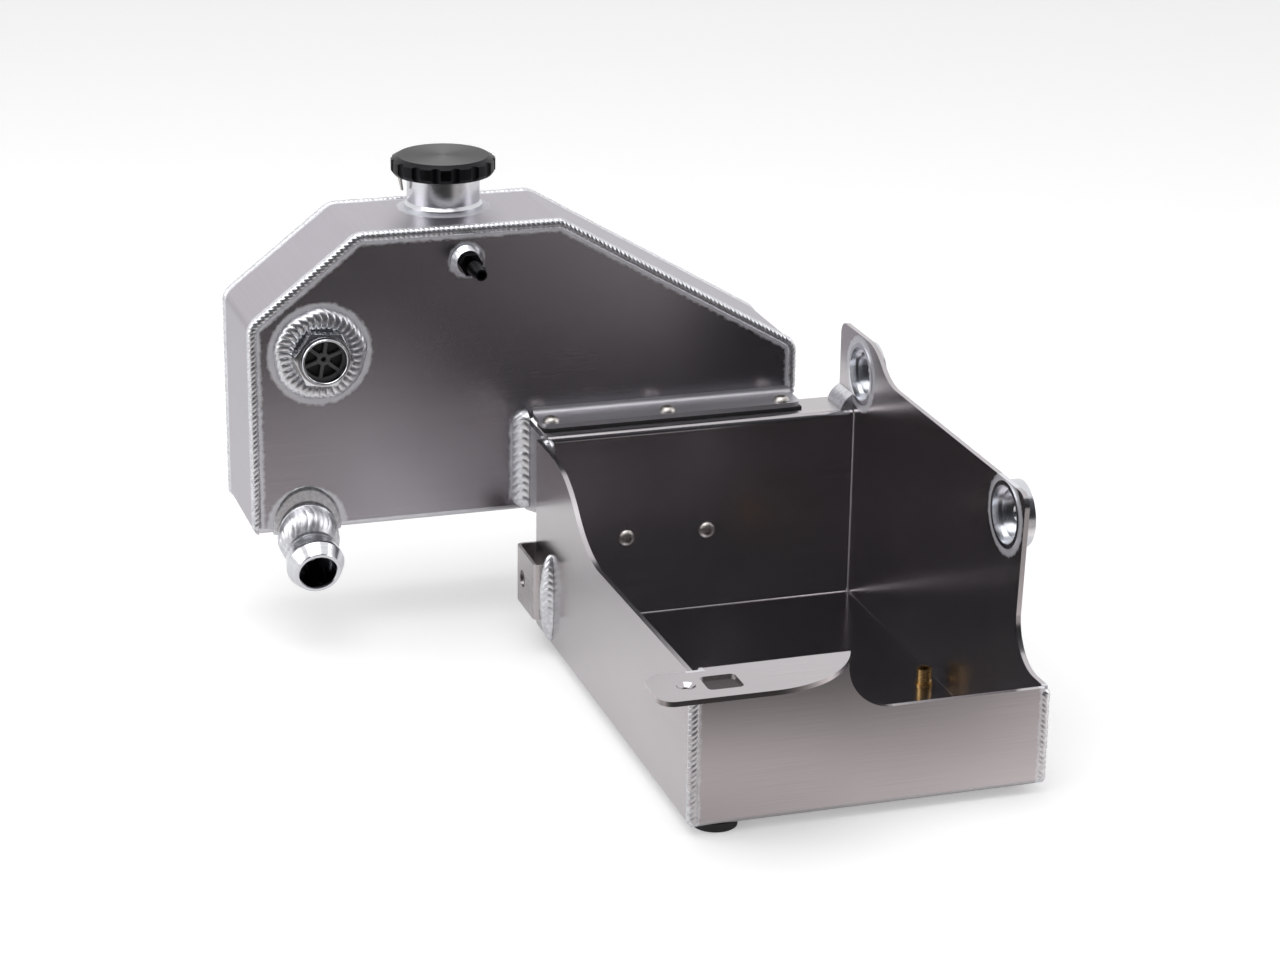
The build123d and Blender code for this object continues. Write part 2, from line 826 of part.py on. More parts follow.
with BuildPart() as back_right_weld:
    with BuildSketch(Plane.XZ.offset(-back)):
        with BuildLine():
            Polyline(
                (inner_right, lip_top + lug_weld_height),
                (inner_right, lip_top),
                (inner_right - lug_weld_width, lip_top),
            )
            ThreePointArc(
                (inner_right - lug_weld_width, lip_top),
                (inner_right - lug_weld_width * step_bead_bulge, lip_top + lug_weld_height * step_bead_bulge),
                (inner_right, lip_top + lug_weld_height),
            )
        make_face()
    extrude(amount=-lug_weld_length)

# Step weld: wide bead between the gusset and the tank's front face, closed over the gusset's top
with BuildPart() as step_weld:
    with BuildSketch(Plane.XY.offset(tank_floor + gusset_rise * step_bead_leg / tank_gap)):
        with BuildLine():
            Polyline(
                (step_left, tank_front - step_bead_leg),
                (step_left, tank_front),
                (step_left - step_bead_leg, tank_front),
            )
            ThreePointArc(
                (step_left - step_bead_leg, tank_front),
                (step_left - step_bead_leg * step_bead_bulge, tank_front - step_bead_leg * step_bead_bulge),
                (step_left, tank_front - step_bead_leg),
            )
        make_face()
    extrude(amount=strip_bottom - tank_floor - gusset_rise * step_bead_leg / tank_gap)
    with Locations((step_left, tank_front, strip_bottom)):
        Sphere(step_bead_cap_radius)
    with Locations((strip_start - gusset_top_gap, tank_front, base)):
        Box(
            tray_width,
            tank_gap,
            tank_top,
            align=(Align.MAX, Align.MAX, Align.MIN),
            mode=Mode.INTERSECT,
        )
    add(tank_step_panel.part, mode=Mode.SUBTRACT)

# Gasket between the joint strip and the tray's lip
with BuildPart() as strip_gasket:
    with BuildSketch(Plane.XY.offset(lip_top)) as gasket_plan:
        with Locations((strip_start, strip_front)):
            Rectangle(strip_length, back + lip_depth - strip_front, align=(Align.MIN, Align.MIN))
        fillet(gasket_plan.vertices().group_by(Axis.X)[0].sort_by(Axis.Y)[-1], lip_corner_radius)
        with Locations(*strip_screw_places):
            Circle(screw_hole_radius, mode=Mode.SUBTRACT)
    extrude(amount=gasket_thickness)

# Filler neck: turned, with a seat for the cap's valve and two notches in its flange
flange_foot = neck_height - neck_flange_thickness
rib_top = neck_height - neck_rib_drop
neck_profile = [
    (neck_seat_radius, -sheet),
    (neck_radius, -sheet),
    (neck_radius, 0),
    (neck_foot_radius, 0),
    (neck_foot_radius, neck_foot_height - neck_foot_round),
    (neck_radius, neck_foot_height),
    (neck_radius, rib_top - neck_rib_height),
    (neck_radius + neck_rib_proud, rib_top - neck_rib_height),
    (neck_radius + neck_rib_proud, rib_top),
    (neck_radius, rib_top),
    (neck_radius, flange_foot),
    (neck_flange_lobe_radius, flange_foot),
    (neck_flange_lobe_radius, neck_height),
    (neck_bore_radius, neck_height),
    (neck_bore_radius, neck_seat_height - sheet),
    (neck_seat_radius, neck_seat_height - sheet),
]
neck_blank = turned(neck_plane, neck_profile)
with BuildPart() as filler_neck:
    add(neck_blank)
    with BuildSketch(neck_plane.offset(flange_foot)):
        Rectangle(2 * cap_radius, neck_notch_width)
        Circle(neck_notch_radius, mode=Mode.SUBTRACT)
    extrude(amount=neck_flange_thickness, mode=Mode.SUBTRACT)

# Cap cover: fluted, hollow below for the tab plate
cover_foot = cap_floor - tank_roof
cover_head = cap_top - tank_roof
cover_roof = plate_top - tank_roof
cover_profile = [
    (0, cover_roof),
    (cover_pocket_radius, cover_roof),
    (cover_pocket_radius, cover_foot),
    (cap_foot_radius, cover_foot),
    (cap_radius, cover_foot + cap_foot_rise),
    (cap_radius, cover_head - cap_crown_drop),
    (cap_crown_radius, cover_head),
    (0, cover_head),
]
cover_blank = turned(neck_plane, cover_profile)
with BuildPart() as cap_cover:
    add(cover_blank)
    with BuildSketch(neck_plane.offset(cover_foot)):
        with PolarLocations(cap_radius + cap_flute_radius - cap_flute_depth, cap_flute_count):
            Circle(cap_flute_radius)
    extrude(amount=cap_height, mode=Mode.SUBTRACT)

# Cap tab plate: pressed cup with two claws that hook under the neck's flange
claw_floor = flange_foot - claw_gap - plate_thickness
rim_outer = cover_pocket_radius - fit_gap
plate_head = plate_top - tank_roof
plate_profile = [
    (0, plate_head - plate_thickness),
    (plate_rim_radius, plate_head - plate_thickness),
    (plate_rim_radius, claw_floor),
    (rim_outer, claw_floor),
    (rim_outer, plate_head),
    (0, plate_head),
]
plate_blank = turned(neck_plane, plate_profile)
tongue_radius = plate_rim_radius - plate_thickness / 2
with BuildPart() as cap_tab_plate:
    add(plate_blank)
    with BuildSketch(neck_plane.offset(claw_floor)):
        Rectangle(2 * rim_outer, claw_width)
        Circle(plate_rim_radius + plate_thickness / 2, mode=Mode.INTERSECT)
        Circle(plate_rim_radius - claw_reach, mode=Mode.SUBTRACT)
    extrude(amount=plate_thickness)
    for side, drop in zip((-1, 1), claw_tongue_drops):
        tongue_root = neck_plane.origin + Vector(side * tongue_radius, 0, claw_floor + plate_thickness)
        tongue_plane = Plane(
            origin=tongue_root,
            x_dir=(0, side, 0),
            z_dir=(side * drop, 0, -claw_tongue_lean * drop / claw_tongue_drops[0]),
        )
        with BuildSketch(tongue_plane):
            with BuildLine():
                Polyline(
                    (-claw_width / 2, 0),
                    (claw_width / 2, 0),
                    (claw_tongue_tip / 2, -drop - plate_thickness),
                    (-claw_tongue_tip / 2, -drop - plate_thickness),
                    close=True,
                )
            make_face()
        extrude(amount=plate_thickness)

# Valve of the cap: upper seal on the neck's mouth, plunger with its seal on the seat, and spring
seat_height = neck_seat_height - sheet
plunger_foot = seat_height + seal_thickness
plunger_head = plunger_foot + seal_thickness
valve_top = plate_head - plate_thickness
with BuildPart() as cap_upper_seal:
    with BuildSketch(neck_plane.offset(neck_height)):
        Circle(upper_seal_radius)
        Circle(upper_seal_radius - seal_rim, mode=Mode.SUBTRACT)
    extrude(amount=valve_top - neck_height)

with BuildPart() as cap_plunger_seal:
    with BuildSketch(neck_plane.offset(seat_height)):
        Circle(plunger_radius)
        Circle(plunger_radius - seal_rim, mode=Mode.SUBTRACT)
    extrude(amount=seal_thickness)

plunger_profile = [
    (0, plunger_foot),
    (plunger_radius, plunger_foot),
    (plunger_radius, plunger_head),
    (plunger_stem_radius, plunger_head),
    (plunger_stem_radius, valve_top),
    (0, valve_top),
]
plunger_blank = turned(neck_plane, plunger_profile)
with BuildPart() as cap_plunger:
    add(plunger_blank)

spring_foot = plunger_head + spring_wire_radius + spring_end_gap
spring_height = valve_top - spring_wire_radius - spring_end_gap - spring_foot
with BuildPart() as cap_spring:
    with BuildLine(neck_plane.offset(spring_foot)) as coil:
        Helix(pitch=spring_height / spring_turns, height=spring_height, radius=spring_radius)
    with BuildSketch(Plane(origin=coil.line @ 0, z_dir=coil.line % 0)):
        Circle(spring_wire_radius)
    sweep(path=coil.line)

# Level port: weld ring, boss, screwed connector and the star insert in its bore
level_port_weld_blank = turned(
    port_plane,
    [
        (port_boss_radius + fit_gap, 0),
        (port_weld_radius, 0),
        (port_weld_radius - port_weld_shoulder_inset, port_weld_shoulder_height),
        ((port_boss_radius + port_weld_radius) / 2, port_weld_crown_height),
        (port_boss_radius + fit_gap, port_weld_height),
    ],
)
with BuildPart() as level_port_weld:
    add(level_port_weld_blank)

with BuildPart() as level_port_boss:
    with BuildSketch(port_plane):
        Circle(port_boss_radius)
        Circle(port_thread_radius + fit_gap, mode=Mode.SUBTRACT)
    extrude(amount=port_boss_length)

port_hex_end = port_boss_length + port_hex_length
port_lip_end = port_hex_end + port_lip_length
hex_corner_radius = port_hex_flats / 2 / cos(radians(30))
hex_envelope = turned(
    port_plane,
    [
        (0, port_boss_length),
        (hex_corner_radius, port_boss_length),
        (hex_corner_radius, port_hex_end - port_hex_chamfer),
        (port_hex_flats / 2 - port_hex_chamfer / 2, port_hex_end),
        (0, port_hex_end),
    ],
)
with BuildPart() as level_port_fitting:
    with BuildSketch(port_plane.offset(port_boss_length)):
        RegularPolygon(port_hex_flats / 2, 6, major_radius=False, rotation=port_hex_turn)
    extrude(amount=port_hex_length)
    add(hex_envelope, mode=Mode.INTERSECT)
    with BuildSketch(port_plane.offset(port_boss_length)):
        Circle(port_thread_radius)
    extrude(amount=-port_thread_length)
    with BuildSketch(port_plane.offset(port_hex_end)):
        Circle(port_lip_radius)
    extrude(amount=port_lip_length)
    chamfer(level_port_fitting.faces().sort_by(Axis.Y)[0].edges(), port_lip_chamfer)
    with BuildSketch(port_plane.offset(port_lip_end)):
        Circle(port_bore_radius)
    extrude(amount=-port_insert_depth, mode=Mode.SUBTRACT)
    with BuildSketch(port_plane.offset(port_lip_end - port_insert_depth)):
        Circle(port_seat_radius)
    extrude(amount=-port_insert_thickness, mode=Mode.SUBTRACT)
    with BuildSketch(port_plane.offset(port_lip_end - port_insert_depth - port_insert_thickness)):
        Circle(port_passage_radius)
    extrude(amount=-port_hex_length - port_thread_length, mode=Mode.SUBTRACT)

with BuildPart() as level_port_insert:
    with BuildSketch(port_plane.offset(port_lip_end - port_insert_depth)):
        Circle(port_seat_radius - fit_gap)
        with PolarLocations(port_insert_slot_circle, port_insert_slot_count, start_angle=port_hex_turn):
            Circle(port_insert_slot_radius, mode=Mode.SUBTRACT)
    extrude(amount=-port_insert_thickness)

# Vent: bung welded to the front face, and the barbed hose nipple screwed into it
vent_boss_blank = turned(
    vent_plane,
    [
        (vent_thread_radius + fit_gap, 0),
        (vent_boss_radius, 0),
        (vent_boss_radius, vent_boss_rim),
        (vent_boss_face_radius, vent_boss_length),
        (vent_thread_radius + fit_gap, vent_boss_length),
    ],
)
with BuildPart() as vent_boss:
    add(vent_boss_blank)

barb_start = vent_length - vent_barb_count * vent_barb_pitch
nipple_profile = [
    (vent_bore_radius, vent_boss_length - vent_thread_length),
    (vent_thread_radius, vent_boss_length - vent_thread_length),
    (vent_thread_radius, vent_boss_length),
    (vent_stem_radius, vent_boss_length),
]
for i in range(vent_barb_count):
    nipple_profile.append((vent_stem_radius, barb_start + i * vent_barb_pitch))
    nipple_profile.append((vent_barb_radius, barb_start + i * vent_barb_pitch))
nipple_profile.append((vent_stem_radius, vent_length))
nipple_profile.append((vent_bore_radius, vent_length))
nipple_blank = turned(vent_plane, nipple_profile)
with BuildPart() as vent_fitting:
    add(nipple_blank)
    with BuildSketch(vent_plane.offset(vent_boss_length)):
        RegularPolygon(vent_hex_flats / 2, 6, major_radius=False)
        Circle(vent_bore_radius, mode=Mode.SUBTRACT)
    extrude(amount=vent_hex_length)

# Outlet spigot: turned, with a hose bead, set through the tank's lower front fold
outlet_profile = [
    (outlet_bore_radius, -outlet_root_depth),
    (outlet_root_radius, -outlet_root_depth),
    (outlet_root_radius, outlet_bead_place - outlet_bead_rise),
    (outlet_bead_radius, outlet_bead_place - outlet_bead_width / 2),
    (outlet_bead_radius, outlet_bead_place + outlet_bead_width / 2),
    (outlet_mouth_radius, outlet_length - outlet_lip_length),
    (outlet_mouth_radius, outlet_length),
    (outlet_bore_radius, outlet_length),
]
outlet_blank = turned(outlet_plane, outlet_profile)
with BuildPart() as outlet_spigot:
    add(outlet_blank)

# Outlet weld: collar that follows the fold round the spigot's root
with BuildPart() as outlet_weld:
    with BuildSketch(Plane.YZ.offset(left + outlet_x - outlet_weld_radius)):
        with BuildLine():
            FilletPolyline(
                (tank_front - outlet_weld_height, tank_floor + outlet_reach),
                (tank_front - outlet_weld_height, tank_floor - outlet_weld_height),
                (tank_front + outlet_reach, tank_floor - outlet_weld_height),
                (tank_front + outlet_reach, tank_floor),
                (tank_front, tank_floor),
                (tank_front, tank_floor + outlet_reach),
                radius=[0, fold_radius + outlet_weld_height, 0, 0, fold_radius, 0],
                close=True,
            )
        make_face()
    extrude(amount=2 * outlet_weld_radius)
    with BuildSketch(outlet_plane.offset(-outlet_reach)):
        Circle(outlet_weld_radius)
    extrude(amount=2 * outlet_reach, mode=Mode.INTERSECT)
    with BuildSketch(outlet_plane.offset(-outlet_reach)):
        Circle(outlet_root_radius + fit_gap)
    extrude(amount=2 * outlet_reach, mode=Mode.SUBTRACT)


# Cups for the fixing bolts, set through the right wall and open towards the tray
def cup(place):
    """Stepped cup at a place in the right wall."""
    y, z = place
    step_foot = cup_rim_proud - cup_pocket_depth
    floor_face = step_foot - cup_step_depth
    profile = [
        (cup_hole_radius, floor_face - cup_floor),
        (cup_radius, floor_face - cup_floor),
        (cup_radius, cup_rim_proud),
        (cup_pocket_radius, cup_rim_proud),
        (cup_pocket_radius, step_foot),
        (cup_step_radius, step_foot),
        (cup_step_radius, floor_face),
        (cup_hole_radius, floor_face),
    ]
    return turned(Plane(origin=(inner_right, y, z), x_dir=(0, 1, 0), z_dir=(-1, 0, 0)), profile)


rear_cup_blank = cup(rear_cup_place)
with BuildPart() as rear_cup:
    add(rear_cup_blank)

front_cup_blank = cup(front_cup_place)
with BuildPart() as front_cup:
    add(front_cup_blank)

# Clip on the left wall: one strip bent round the tray's rear corner
clip_start = back - clip_setback
clip_end = clip_start + clip_length
clip_web = left - clip_offset
with BuildPart() as clip_bracket:
    with BuildSketch(Plane.XY.offset(base + clip_bottom)):
        with BuildLine():
            FilletPolyline(
                (left, clip_start),
                (clip_web, clip_start),
                (clip_web, clip_end),
                (clip_web + clip_back_reach, clip_end),
                (clip_web + clip_back_reach, clip_end - clip_sheet),
                (clip_web + clip_sheet, clip_end - clip_sheet),
                (clip_web + clip_sheet, clip_start + clip_sheet),
                (left, clip_start + clip_sheet),
                radius=[
                    0,
                    clip_bend_radius,
                    clip_bend_radius,
                    0,
                    0,
                    clip_bend_radius - clip_sheet,
                    clip_bend_radius - clip_sheet,
                    0,
                ],
                close=True,
            )
        make_face()
    extrude(amount=clip_height)
    with BuildSketch(Plane.YZ.offset(clip_web)):
        with Locations((back - clip_hole_setback, base + clip_bottom + clip_height / 2)):
            Circle(clip_hole_radius)
    extrude(amount=clip_sheet, mode=Mode.SUBTRACT)

# Clip weld: pointed bead in the corner between the left wall and the clip's front leg
clip_weld_half = (clip_weld_top - clip_weld_bottom) / 2
clip_weld_middle = base + clip_weld_bottom + clip_weld_half
with BuildPart() as clip_weld:
    with BuildSketch(Plane.XZ.offset(-clip_start)):
        with BuildLine():
            ThreePointArc(
                (left, clip_weld_middle - clip_weld_half),
                (left - clip_weld_leg, clip_weld_middle),
                (left, clip_weld_middle + clip_weld_half),
            )
            Line((left, clip_weld_middle + clip_weld_half), (left, clip_weld_middle - clip_weld_half))
        make_face()
    revolve(axis=Axis((left, clip_start, 0), (0, 0, 1)))
    with Locations((left, clip_start, clip_weld_middle)):
        Box(
            clip_weld_leg,
            clip_weld_leg,
            2 * clip_weld_half,
            align=(Align.MAX, Align.MAX, Align.CENTER),
            mode=Mode.INTERSECT,
        )

# Drain fitting in the tray floor, held by a nut below
drain_profile = [
    (drain_bore_radius, -sheet - drain_nut_height - drain_thread_end),
    (drain_thread_radius, -sheet - drain_nut_height - drain_thread_end),
    (drain_thread_radius, 0),
    (drain_flange_radius, 0),
    (drain_flange_radius, drain_flange_height),
    (drain_radius, drain_flange_height),
    (drain_radius, drain_height),
    (drain_bore_radius, drain_height),
]
drain_blank = turned(drain_plane, drain_profile)
with BuildPart() as drain_fitting:
    add(drain_blank)

drain_nut_plane = Plane(origin=(right - drain_inset, front + drain_y, base), z_dir=(0, 0, -1))
drain_nut_blank = hex_nut(drain_nut_plane, drain_nut_flats, drain_nut_height, drain_thread_radius + fit_gap)
with BuildPart() as drain_nut:
    add(drain_nut_blank)

# Screws and nuts of the joint strip and of the tray's back wall
strip_grip = sheet + gasket_thickness + sheet
strip_screw_solids = [button_screw(Plane(origin=(x, y, strip_top)), strip_grip) for x, y in strip_screw_places]
with BuildPart() as strip_screws:
    add(strip_screw_solids)

strip_nut_solids = [
    hex_nut(
        Plane(origin=(x, y, lip_top - sheet), z_dir=(0, 0, -1)),
        nut_flats,
        nut_height,
        screw_radius + fit_gap,
    )
    for x, y in strip_screw_places
]
with BuildPart() as strip_nuts:
    add(strip_nut_solids)

wall_screw_solids = [
    button_screw(Plane(origin=(x, inner_back, z), x_dir=(1, 0, 0), z_dir=(0, -1, 0)), sheet)
    for x, z in wall_screw_places
]
with BuildPart() as wall_screws:
    add(wall_screw_solids)

wall_nut_solids = [
    hex_nut(
        Plane(origin=(x, back, z), x_dir=(1, 0, 0), z_dir=(0, 1, 0)),
        nut_flats,
        nut_height,
        screw_radius + fit_gap,
    )
    for x, z in wall_screw_places
]
with BuildPart() as wall_nuts:
    add(wall_nut_solids)

# Floor pads
with BuildPart() as floor_pads:
    with BuildSketch(Plane.XY):
        with Locations(
            (0, 0),
            (right - pad_inset_x, front + right_pad_inset_y),
            (left + rear_pad_inset_x, back - rear_pad_inset_y),
            (right - rear_pad_inset_x, back - rear_pad_inset_y),
        ):
            Circle(pad_radius)
    extrude(amount=pad_height)

# One file for each piece
pieces = {
    "tank_front_panel": tank_front_panel,
    "tank_bottom_panel": tank_bottom_panel,
    "joint_strip": joint_strip,
    "tank_wrap": tank_wrap,
    "tank_back_panel": tank_back_panel,
    "tank_step_panel": tank_step_panel,
    "front_weld": front_weld,
    "back_weld": back_weld,
    "step_weld": step_weld,
    "filler_neck": filler_neck,
    "cap_cover": cap_cover,
    "cap_tab_plate": cap_tab_plate,
    "cap_upper_seal": cap_upper_seal,
    "cap_spring": cap_spring,
    "cap_plunger": cap_plunger,
    "cap_plunger_seal": cap_plunger_seal,
    "level_port_boss": level_port_boss,
    "level_port_weld": level_port_weld,
    "level_port_fitting": level_port_fitting,
    "level_port_insert": level_port_insert,
    "vent_boss": vent_boss,
    "vent_fitting": vent_fitting,
    "outlet_spigot": outlet_spigot,
    "outlet_weld": outlet_weld,
    "tray_floor": tray_floor,
    "tray_left_wall": tray_left_wall,
    "tray_right_wall": tray_right_wall,
    "tray_front_wall": tray_front_wall,
    "tray_back_wall": tray_back_wall,
    "tray_lip": tray_lip,
    "tray_flange": tray_flange,
    "front_left_weld": front_left_weld,
    "front_right_weld": front_right_weld,
    "back_left_weld": back_left_weld,
    "back_right_weld": back_right_weld,
    "rear_cup": rear_cup,
    "front_cup": front_cup,
    "clip_bracket": clip_bracket,
    "clip_weld": clip_weld,
    "drain_fitting": drain_fitting,
    "drain_nut": drain_nut,
    "strip_screws": strip_screws,
    "strip_nuts": strip_nuts,
    "strip_gasket": strip_gasket,
    "wall_screws": wall_screws,
    "wall_nuts": wall_nuts,
    "floor_pads": floor_pads,
}
os.makedirs("parts", exist_ok=True)
for name, piece in pieces.items():
    piece.part.label = name
    export_step(piece.part, "parts/" + name + ".step")
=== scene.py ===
import logging
import math
from dataclasses import dataclass
from enum import Enum
from typing import ClassVar, Optional, Sequence

import bpy
import numpy as np
from mathutils import Matrix, Vector


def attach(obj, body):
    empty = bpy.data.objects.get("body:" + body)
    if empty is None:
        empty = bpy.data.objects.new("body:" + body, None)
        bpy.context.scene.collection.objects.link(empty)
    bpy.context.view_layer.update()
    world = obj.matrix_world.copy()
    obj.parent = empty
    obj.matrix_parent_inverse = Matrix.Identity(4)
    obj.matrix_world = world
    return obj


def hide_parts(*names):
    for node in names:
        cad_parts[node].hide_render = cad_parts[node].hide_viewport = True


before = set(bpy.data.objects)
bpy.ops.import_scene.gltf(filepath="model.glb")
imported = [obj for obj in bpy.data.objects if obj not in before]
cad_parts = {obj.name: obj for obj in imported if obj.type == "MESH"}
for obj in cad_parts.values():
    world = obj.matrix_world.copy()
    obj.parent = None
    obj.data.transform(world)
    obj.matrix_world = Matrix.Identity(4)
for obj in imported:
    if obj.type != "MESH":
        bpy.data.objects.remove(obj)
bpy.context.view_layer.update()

log = logging.getLogger("coolant_tank")

Triple = tuple[float, float, float]
Pair = tuple[float, float]
Array = np.ndarray
Socket = bpy.types.NodeSocket
Material = bpy.types.Material

MM = 0.001
ROOT = "tank_assembly"

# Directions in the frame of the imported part
TO_LEFT = (-1.0, 0.0, 0.0)
TO_RIGHT = (1.0, 0.0, 0.0)
TO_FRONT = (0.0, -1.0, 0.0)
TO_BACK = (0.0, 1.0, 0.0)
UP = (0.0, 0.0, 1.0)
ORIGIN = (0.0, 0.0, 0.0)

# Places of the tank and the tray, in metres, in the same frame
LEFT = -20.0 * MM
RIGHT = 195.0 * MM
FRONT = -15.0 * MM
BASE = 5.0 * MM
TANK_FRONT = 327.0 * MM
TANK_BACK = 409.0 * MM
TANK_FLOOR = 73.0 * MM
TANK_ROOF = 263.0 * MM
STRIP_BOTTOM = 134.5 * MM
STEP_LEFT = -17.5 * MM
NECK = (-57.0 * MM, 380.0 * MM, TANK_ROOF)
PORT = (-150.0 * MM, TANK_FRONT, 188.5 * MM)
VENT = (-56.0 * MM, TANK_FRONT, 242.0 * MM)
OUTLET_X = -160.3 * MM
REAR_CUP = (192.0 * MM, 282.5 * MM, 160.2 * MM)
FRONT_CUP = (192.0 * MM, 51.5 * MM, 146.8 * MM)
CLIP_Y = 261.0 * MM

# The tank's outline seen from the front, x and z, clockwise from the lower left
OUTLINE = (
    (-194.0 * MM, TANK_FLOOR),
    (-194.0 * MM, 209.0 * MM),
    (-125.0 * MM, TANK_ROOF),
    (6.3 * MM, TANK_ROOF),
    (164.0 * MM, 170.4 * MM),
    (164.0 * MM, STRIP_BOTTOM),
    (-14.5 * MM, STRIP_BOTTOM),
    (-14.5 * MM, TANK_FLOOR),
)
OUTLINE_RADII = np.array((4.0, 12.0, 12.0, 12.0, 12.0, 4.0, 4.0, 4.0)) * MM
BEAD_STEP = 0.32 * MM

# The range in which most of a noise lies, and the angle past which an edge is hard
NOISE_MIDDLE = (0.3, 0.7)
HARD_ANGLE = math.radians(32.0)
WHITE = (1.0, 1.0, 1.0, 1.0)


class Grain(Enum):
    """Direction of a sheet's rolling grain: cycles of the pattern per metre along each axis."""

    ALONG_X = (14.0, 2600.0, 2600.0)
    ALONG_Y = (2600.0, 14.0, 2600.0)


class Graph:
    """A tree of shader nodes under construction."""

    def __init__(self, tree: bpy.types.NodeTree) -> None:
        """Start from a tree."""
        self.tree = tree

    def node(self, kind: str, **values: object) -> bpy.types.Node:
        """Add a node and set its properties.

        Args:
            kind: Blender's name of the node type.
            values: Properties of the node.

        Returns:
            The new node.
        """
        made = self.tree.nodes.new(kind)
        for key, value in values.items():
            setattr(made, key, value)
        return made

    def link(self, value: object, socket: Socket) -> None:
        """Feed a socket from another socket or a constant."""
        if isinstance(value, Socket):
            self.tree.links.new(value, socket)
        else:
            socket.default_value = value

    def arithmetic(self, kind: str, operation: str, values: Sequence) -> bpy.types.Node:
        """Add a node that reckons with its first inputs.

        Args:
            kind: Blender's name of the node type.
            operation: What it reckons.
            values: One value for each input, from the first.

        Returns:
            The new node.
        """
        made = self.node(kind, operation=operation)
        for value, socket in zip(values, made.inputs):
            self.link(value, socket)
        return made

    def math(self, operation: str, *values: object) -> Socket:
        """Arithmetic on numbers."""
        return self.arithmetic("ShaderNodeMath", operation, values).outputs[0]

    def vector(self, operation: str, *values: object) -> Socket:
        """Arithmetic on vectors that gives a vector."""
        return self.arithmetic("ShaderNodeVectorMath", operation, values).outputs[0]

    def measure(self, operation: str, *values: object) -> Socket:
        """Arithmetic on vectors that gives a number."""
        return self.arithmetic("ShaderNodeVectorMath", operation, values).outputs["Value"]

    def place(self) -> Socket:
        """Object coordinates, in metres."""
        return self.node("ShaderNodeTexCoord").outputs["Object"]

    def noise(self, scale: Triple | float, detail: float, centre: Triple = ORIGIN) -> Socket:
        """Noise from 0 to 1 on object coordinates.

        Args:
            scale: Cycles per metre along each axis, or along all.
            detail: Octaves of the noise.
            centre: Point subtracted first.

        Returns:
            The noise value.
        """
        cycles = scale if isinstance(scale, tuple) else (scale, scale, scale)
        moved = self.vector("SUBTRACT", self.place(), centre)
        made = self.node("ShaderNodeTexNoise")
        self.link(1.0, made.inputs["Scale"])
        self.link(detail, made.inputs["Detail"])
        self.link(self.vector("MULTIPLY", moved, cycles), made.inputs["Vector"])
        return made.outputs["Fac"]

    def spread(self, value: object, source: Pair, target: Pair = (0.0, 1.0)) -> Socket:
        """Map a value smoothly from one range to another, held at its ends.

        Args:
            value: The value.
            source: The range that it comes from.
            target: The range that it goes to.

        Returns:
            The mapped value.
        """
        made = self.node("ShaderNodeMapRange", interpolation_type="SMOOTHSTEP")
        for item, socket in zip((value, *source, *target), made.inputs):
            self.link(item, socket)
        return made.outputs[0]

    def blend(self, share: object, first: object, second: object) -> Socket:
        """Mix two colours.

        Args:
            share: Share of the second.
            first: The first colour, a socket or red, green and blue.
            second: The second colour, likewise.

        Returns:
            The mixed colour.
        """
        made = self.node("ShaderNodeMix", data_type="RGBA")
        self.link(share, made.inputs["Factor"])
        for value, socket in ((first, made.inputs[6]), (second, made.inputs[7])):
            self.link((*value, 1.0) if isinstance(value, tuple) else value, socket)
        return made.outputs[2]


class Shader(Graph):
    """A node material under construction."""

    def __init__(self, name: str, color: Triple, metallic: float, roughness: float) -> None:
        """Make the material with a principled shader.

        Args:
            name: The material's name.
            color: Base colour, linear.
            metallic: Share of metal.
            roughness: Roughness of the surface.
        """
        self.material = bpy.data.materials.new(name)
        self.material.use_nodes = True
        super().__init__(self.material.node_tree)
        self.surface = self.tree.nodes["Principled BSDF"]
        self.feed({"Base Color": (*color, 1.0), "Metallic": metallic, "Roughness": roughness})

    def feed(self, values: dict[str, object]) -> None:
        """Feed sockets of the surface by name."""
        for name, value in values.items():
            self.link(value, self.surface.inputs[name])

    def bump(self, height: object, depth: float, strength: float = 0.5) -> None:
        """Tilt the surface by a height pattern.

        Args:
            height: Height from 0 to 1.
            depth: Metres between low and high.
            strength: Share of the effect.
        """
        made = self.node("ShaderNodeBump")
        self.link(strength, made.inputs["Strength"])
        self.link(depth, made.inputs["Distance"])
        self.link(height, made.inputs["Height"])
        self.feed({"Normal": made.outputs[0]})


def shade(color: Triple, share: float) -> Triple:
    """A colour made darker or lighter, held at white."""
    return tuple(min(1.0, share * part) for part in color)


@dataclass(frozen=True)
class HeatLine:
    """A straight weld seen as a plane: the heat fades along the plane's normal, into the sheet."""

    normal: Triple
    start: float

    def distance(self, shader: Shader) -> Socket:
        """Metres from the plane: the dot product with the normal, less the plane's place."""
        return shader.math("SUBTRACT", shader.measure("DOT_PRODUCT", shader.place(), self.normal), self.start)


@dataclass(frozen=True)
class HeatCorner:
    """A weld along a corner: the heat fades with the larger of two distances from the corner's line."""

    first: HeatLine
    second: HeatLine

    def distance(self, shader: Shader) -> Socket:
        """Metres from the corner's line, the larger along the two normals."""
        one, two = (shader.math("ABSOLUTE", line.distance(shader)) for line in (self.first, self.second))
        return shader.math("MAXIMUM", one, two)


@dataclass(frozen=True)
class HeatRing:
    """A round weld: the heat fades with the distance from a circle round an axis."""

    centre: Triple
    across: Triple
    radius: float

    def distance(self, shader: Shader) -> Socket:
        """Metres from the circle: length across the axis, less the radius."""
        flat = shader.vector("MULTIPLY", shader.vector("SUBTRACT", shader.place(), self.centre), self.across)
        return shader.math("SUBTRACT", shader.measure("LENGTH", flat), self.radius)


